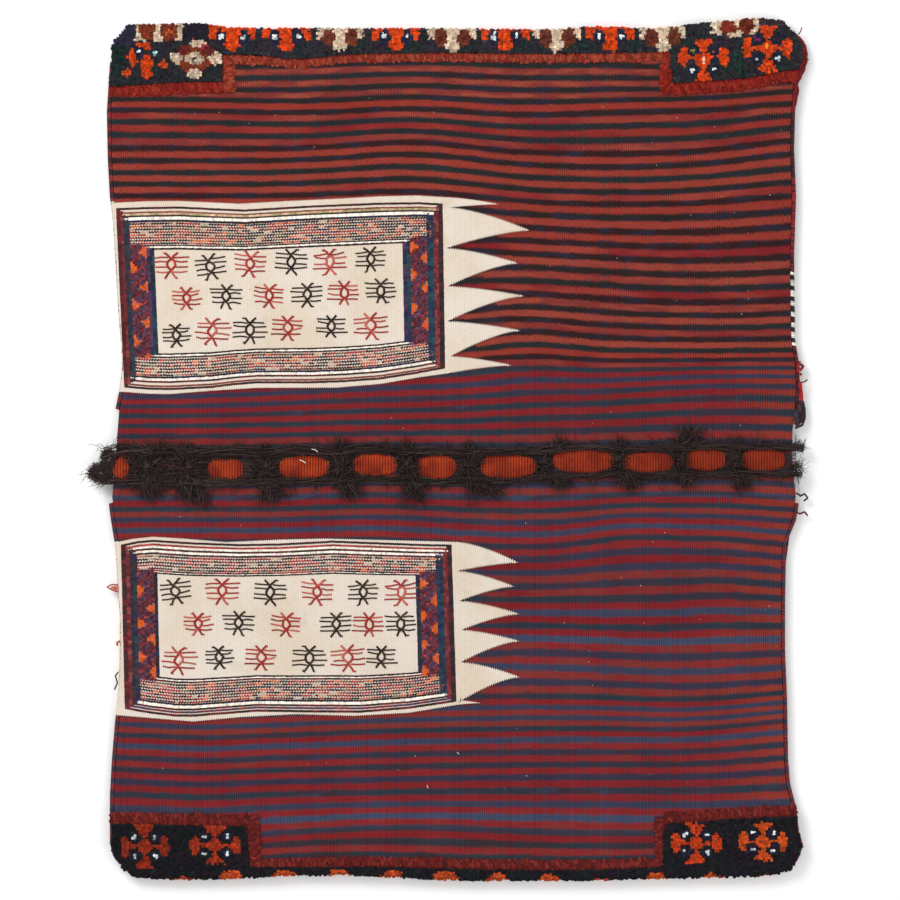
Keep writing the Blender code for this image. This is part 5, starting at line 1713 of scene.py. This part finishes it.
chance = np.random.default_rng(81)
paths = []
for dye, thick, places in LOOSE:
    columns, rows = np.array(places, float).T
    x, y = spot(columns, rows)
    along = np.linspace(0, len(x) - 1, 4 * len(x) - 3)
    x, y = np.interp(along, range(len(x)), x), np.interp(along, range(len(y)), y)
    inside = (x > side_at(LEFT_SIDE, y)) & (x < side_at(RIGHT_SIDE, y))
    over = OVER_BRIDGE if 440 < rows[0] < 470 and columns[0] < 400 else OVER_CLOTH
    z = np.where(inside, CLOTH_TOP + over, EDGE_HEIGHT)
    paths.append((np.stack([x, y, z], 1), thick * SQUARE / 2, dyed(*dye)))
# A skein along the right top edge: first and last row, strands, reach, and its dyes in turn
SKEIN_DYES = ((128, 28, 30), (104, 24, 28), (84, 26, 32), (140, 44, 40))
for first, last, count, reach in ((33, 86, 13, 8.0), (82, 107, 8, 4.5)):
    rows = np.linspace(first, last, 14)
    y = spot(0, rows)[1]
    edge = side_at(RIGHT_SIDE, y)
    swell = np.sin(math.pi * np.clip((rows - first + 3) / (last - first + 5), 0, 1)) ** 0.7
    for k in range(count):
        out = (k / count) * reach * SQUARE * swell - 0.0045
        x = edge + out + 0.0007 * np.sin(rows * chance.uniform(0.3, 0.8) + k)
        z = 0.0165 - 0.0012 * k * (8 / count) + 0.0008 * np.sin(rows * 0.5 + 2 * k)
        paths.append((np.stack([x, y, z], 1), chance.uniform(0.0008, 0.0012),
                      dyed(*SKEIN_DYES[k % 4])))
paths += [([(0.491, 0.580, 0.012), (0.494, 0.584, 0.012), (0.496, 0.590, 0.011)], 0.0009,
           dyed(128, 34, 40)),
          ([(0.497, 0.551, 0.012), (0.501, 0.548, 0.012), (0.505, 0.544, 0.011)], 0.0012,
           dyed(104, 30, 34))]
loose_bits = yarn_piece("loose_ends", paths, SEAM_WOOL)

# Pale specks of lint caught in the weave, off the panels and the bridge
LINT = (170, 160, 156)
chance = np.random.default_rng(91)
columns, rows = chance.uniform(118, 786, 150), chance.uniform(92, 806, 150)
clear = ~((columns < 535) & (((rows > 190) & (rows < 402)) | ((rows > 530) & (rows < 728))))
clear &= (rows < 430) | (rows > 505)
x, y = spot(columns[clear], rows[clear])
sizes = np.stack([chance.uniform(0.0008, 0.0022, len(x)), chance.uniform(0.0006, 0.0010, len(x)),
                  np.full(len(x), 0.0004)], 1)
turns = np.stack([0 * x, 0 * x, chance.uniform(0, 6.3, len(x))], 1)
tints = [dyed(*(np.array(LINT) * chance.uniform(0.7, 1.15))) for _ in x]
lint = strew("lint_specks", STITCH, surface(x, y, 0.0001), turns, sizes, tints, 0.0, WRAPPING_WOOL)
for shape in (STITCH, TUFT):
    bpy.data.objects.remove(shape)

# ---------------------------------------------------------------------------------------------
# The studio. A plain white floor, an even light from above and a soft one from the upper left,
# and a camera that looks straight down on the bag.
# ---------------------------------------------------------------------------------------------
PAPER = (0.93, 0.93, 0.93, 1.0)
SKY_STRENGTH = 0.72
LENS = 140
SENSOR = 36
PICTURE = 900

bpy.ops.mesh.primitive_plane_add(size=12, location=(0, 0, 0))
floor = bpy.context.object
floor.name = "white_floor"
white, white_shader, white_start = start_material("white_paper", 0.9)
finish_material(white_shader, white_start, PAPER)
floor.data.materials.append(white)

world = bpy.data.worlds.new("even_light")
bpy.context.scene.world = world
world.use_nodes = True
sky = world.node_tree.nodes["Background"]
sky.inputs["Color"].default_value = (1.0, 1.0, 1.0, 1.0)
sky.inputs["Strength"].default_value = SKY_STRENGTH

for name, place, size, power in (("window_light", (-2.2, 2.4, 2.8), 2.0, 120.0),
                                 ("fill_light", (2.4, -1.8, 3.0), 2.5, 40.0)):
    light = bpy.data.lights.new(name, "AREA")
    light.size = size
    light.energy = power
    lamp = bpy.data.objects.new(name, light)
    lamp.location = place
    aim = -np.array(place)
    lamp.rotation_euler = (math.atan2(math.hypot(aim[0], aim[1]), -aim[2]), 0.0,
                           math.atan2(aim[1], aim[0]) - math.pi / 2)
    bpy.context.scene.collection.objects.link(lamp)

camera_data = bpy.data.cameras.new("camera_above")
camera_data.lens = LENS
camera_data.sensor_width = SENSOR
camera = bpy.data.objects.new("camera_above", camera_data)
view_x, view_y = spot(PICTURE / 2, PICTURE / 2)
camera.location = (float(view_x), float(view_y), PICTURE * SQUARE * LENS / SENSOR + 0.016)
camera_data.clip_end = 100
bpy.context.scene.collection.objects.link(camera)
bpy.context.scene.camera = camera
bpy.context.scene.view_settings.view_transform = "Standard"
bpy.context.scene.render.film_transparent = False
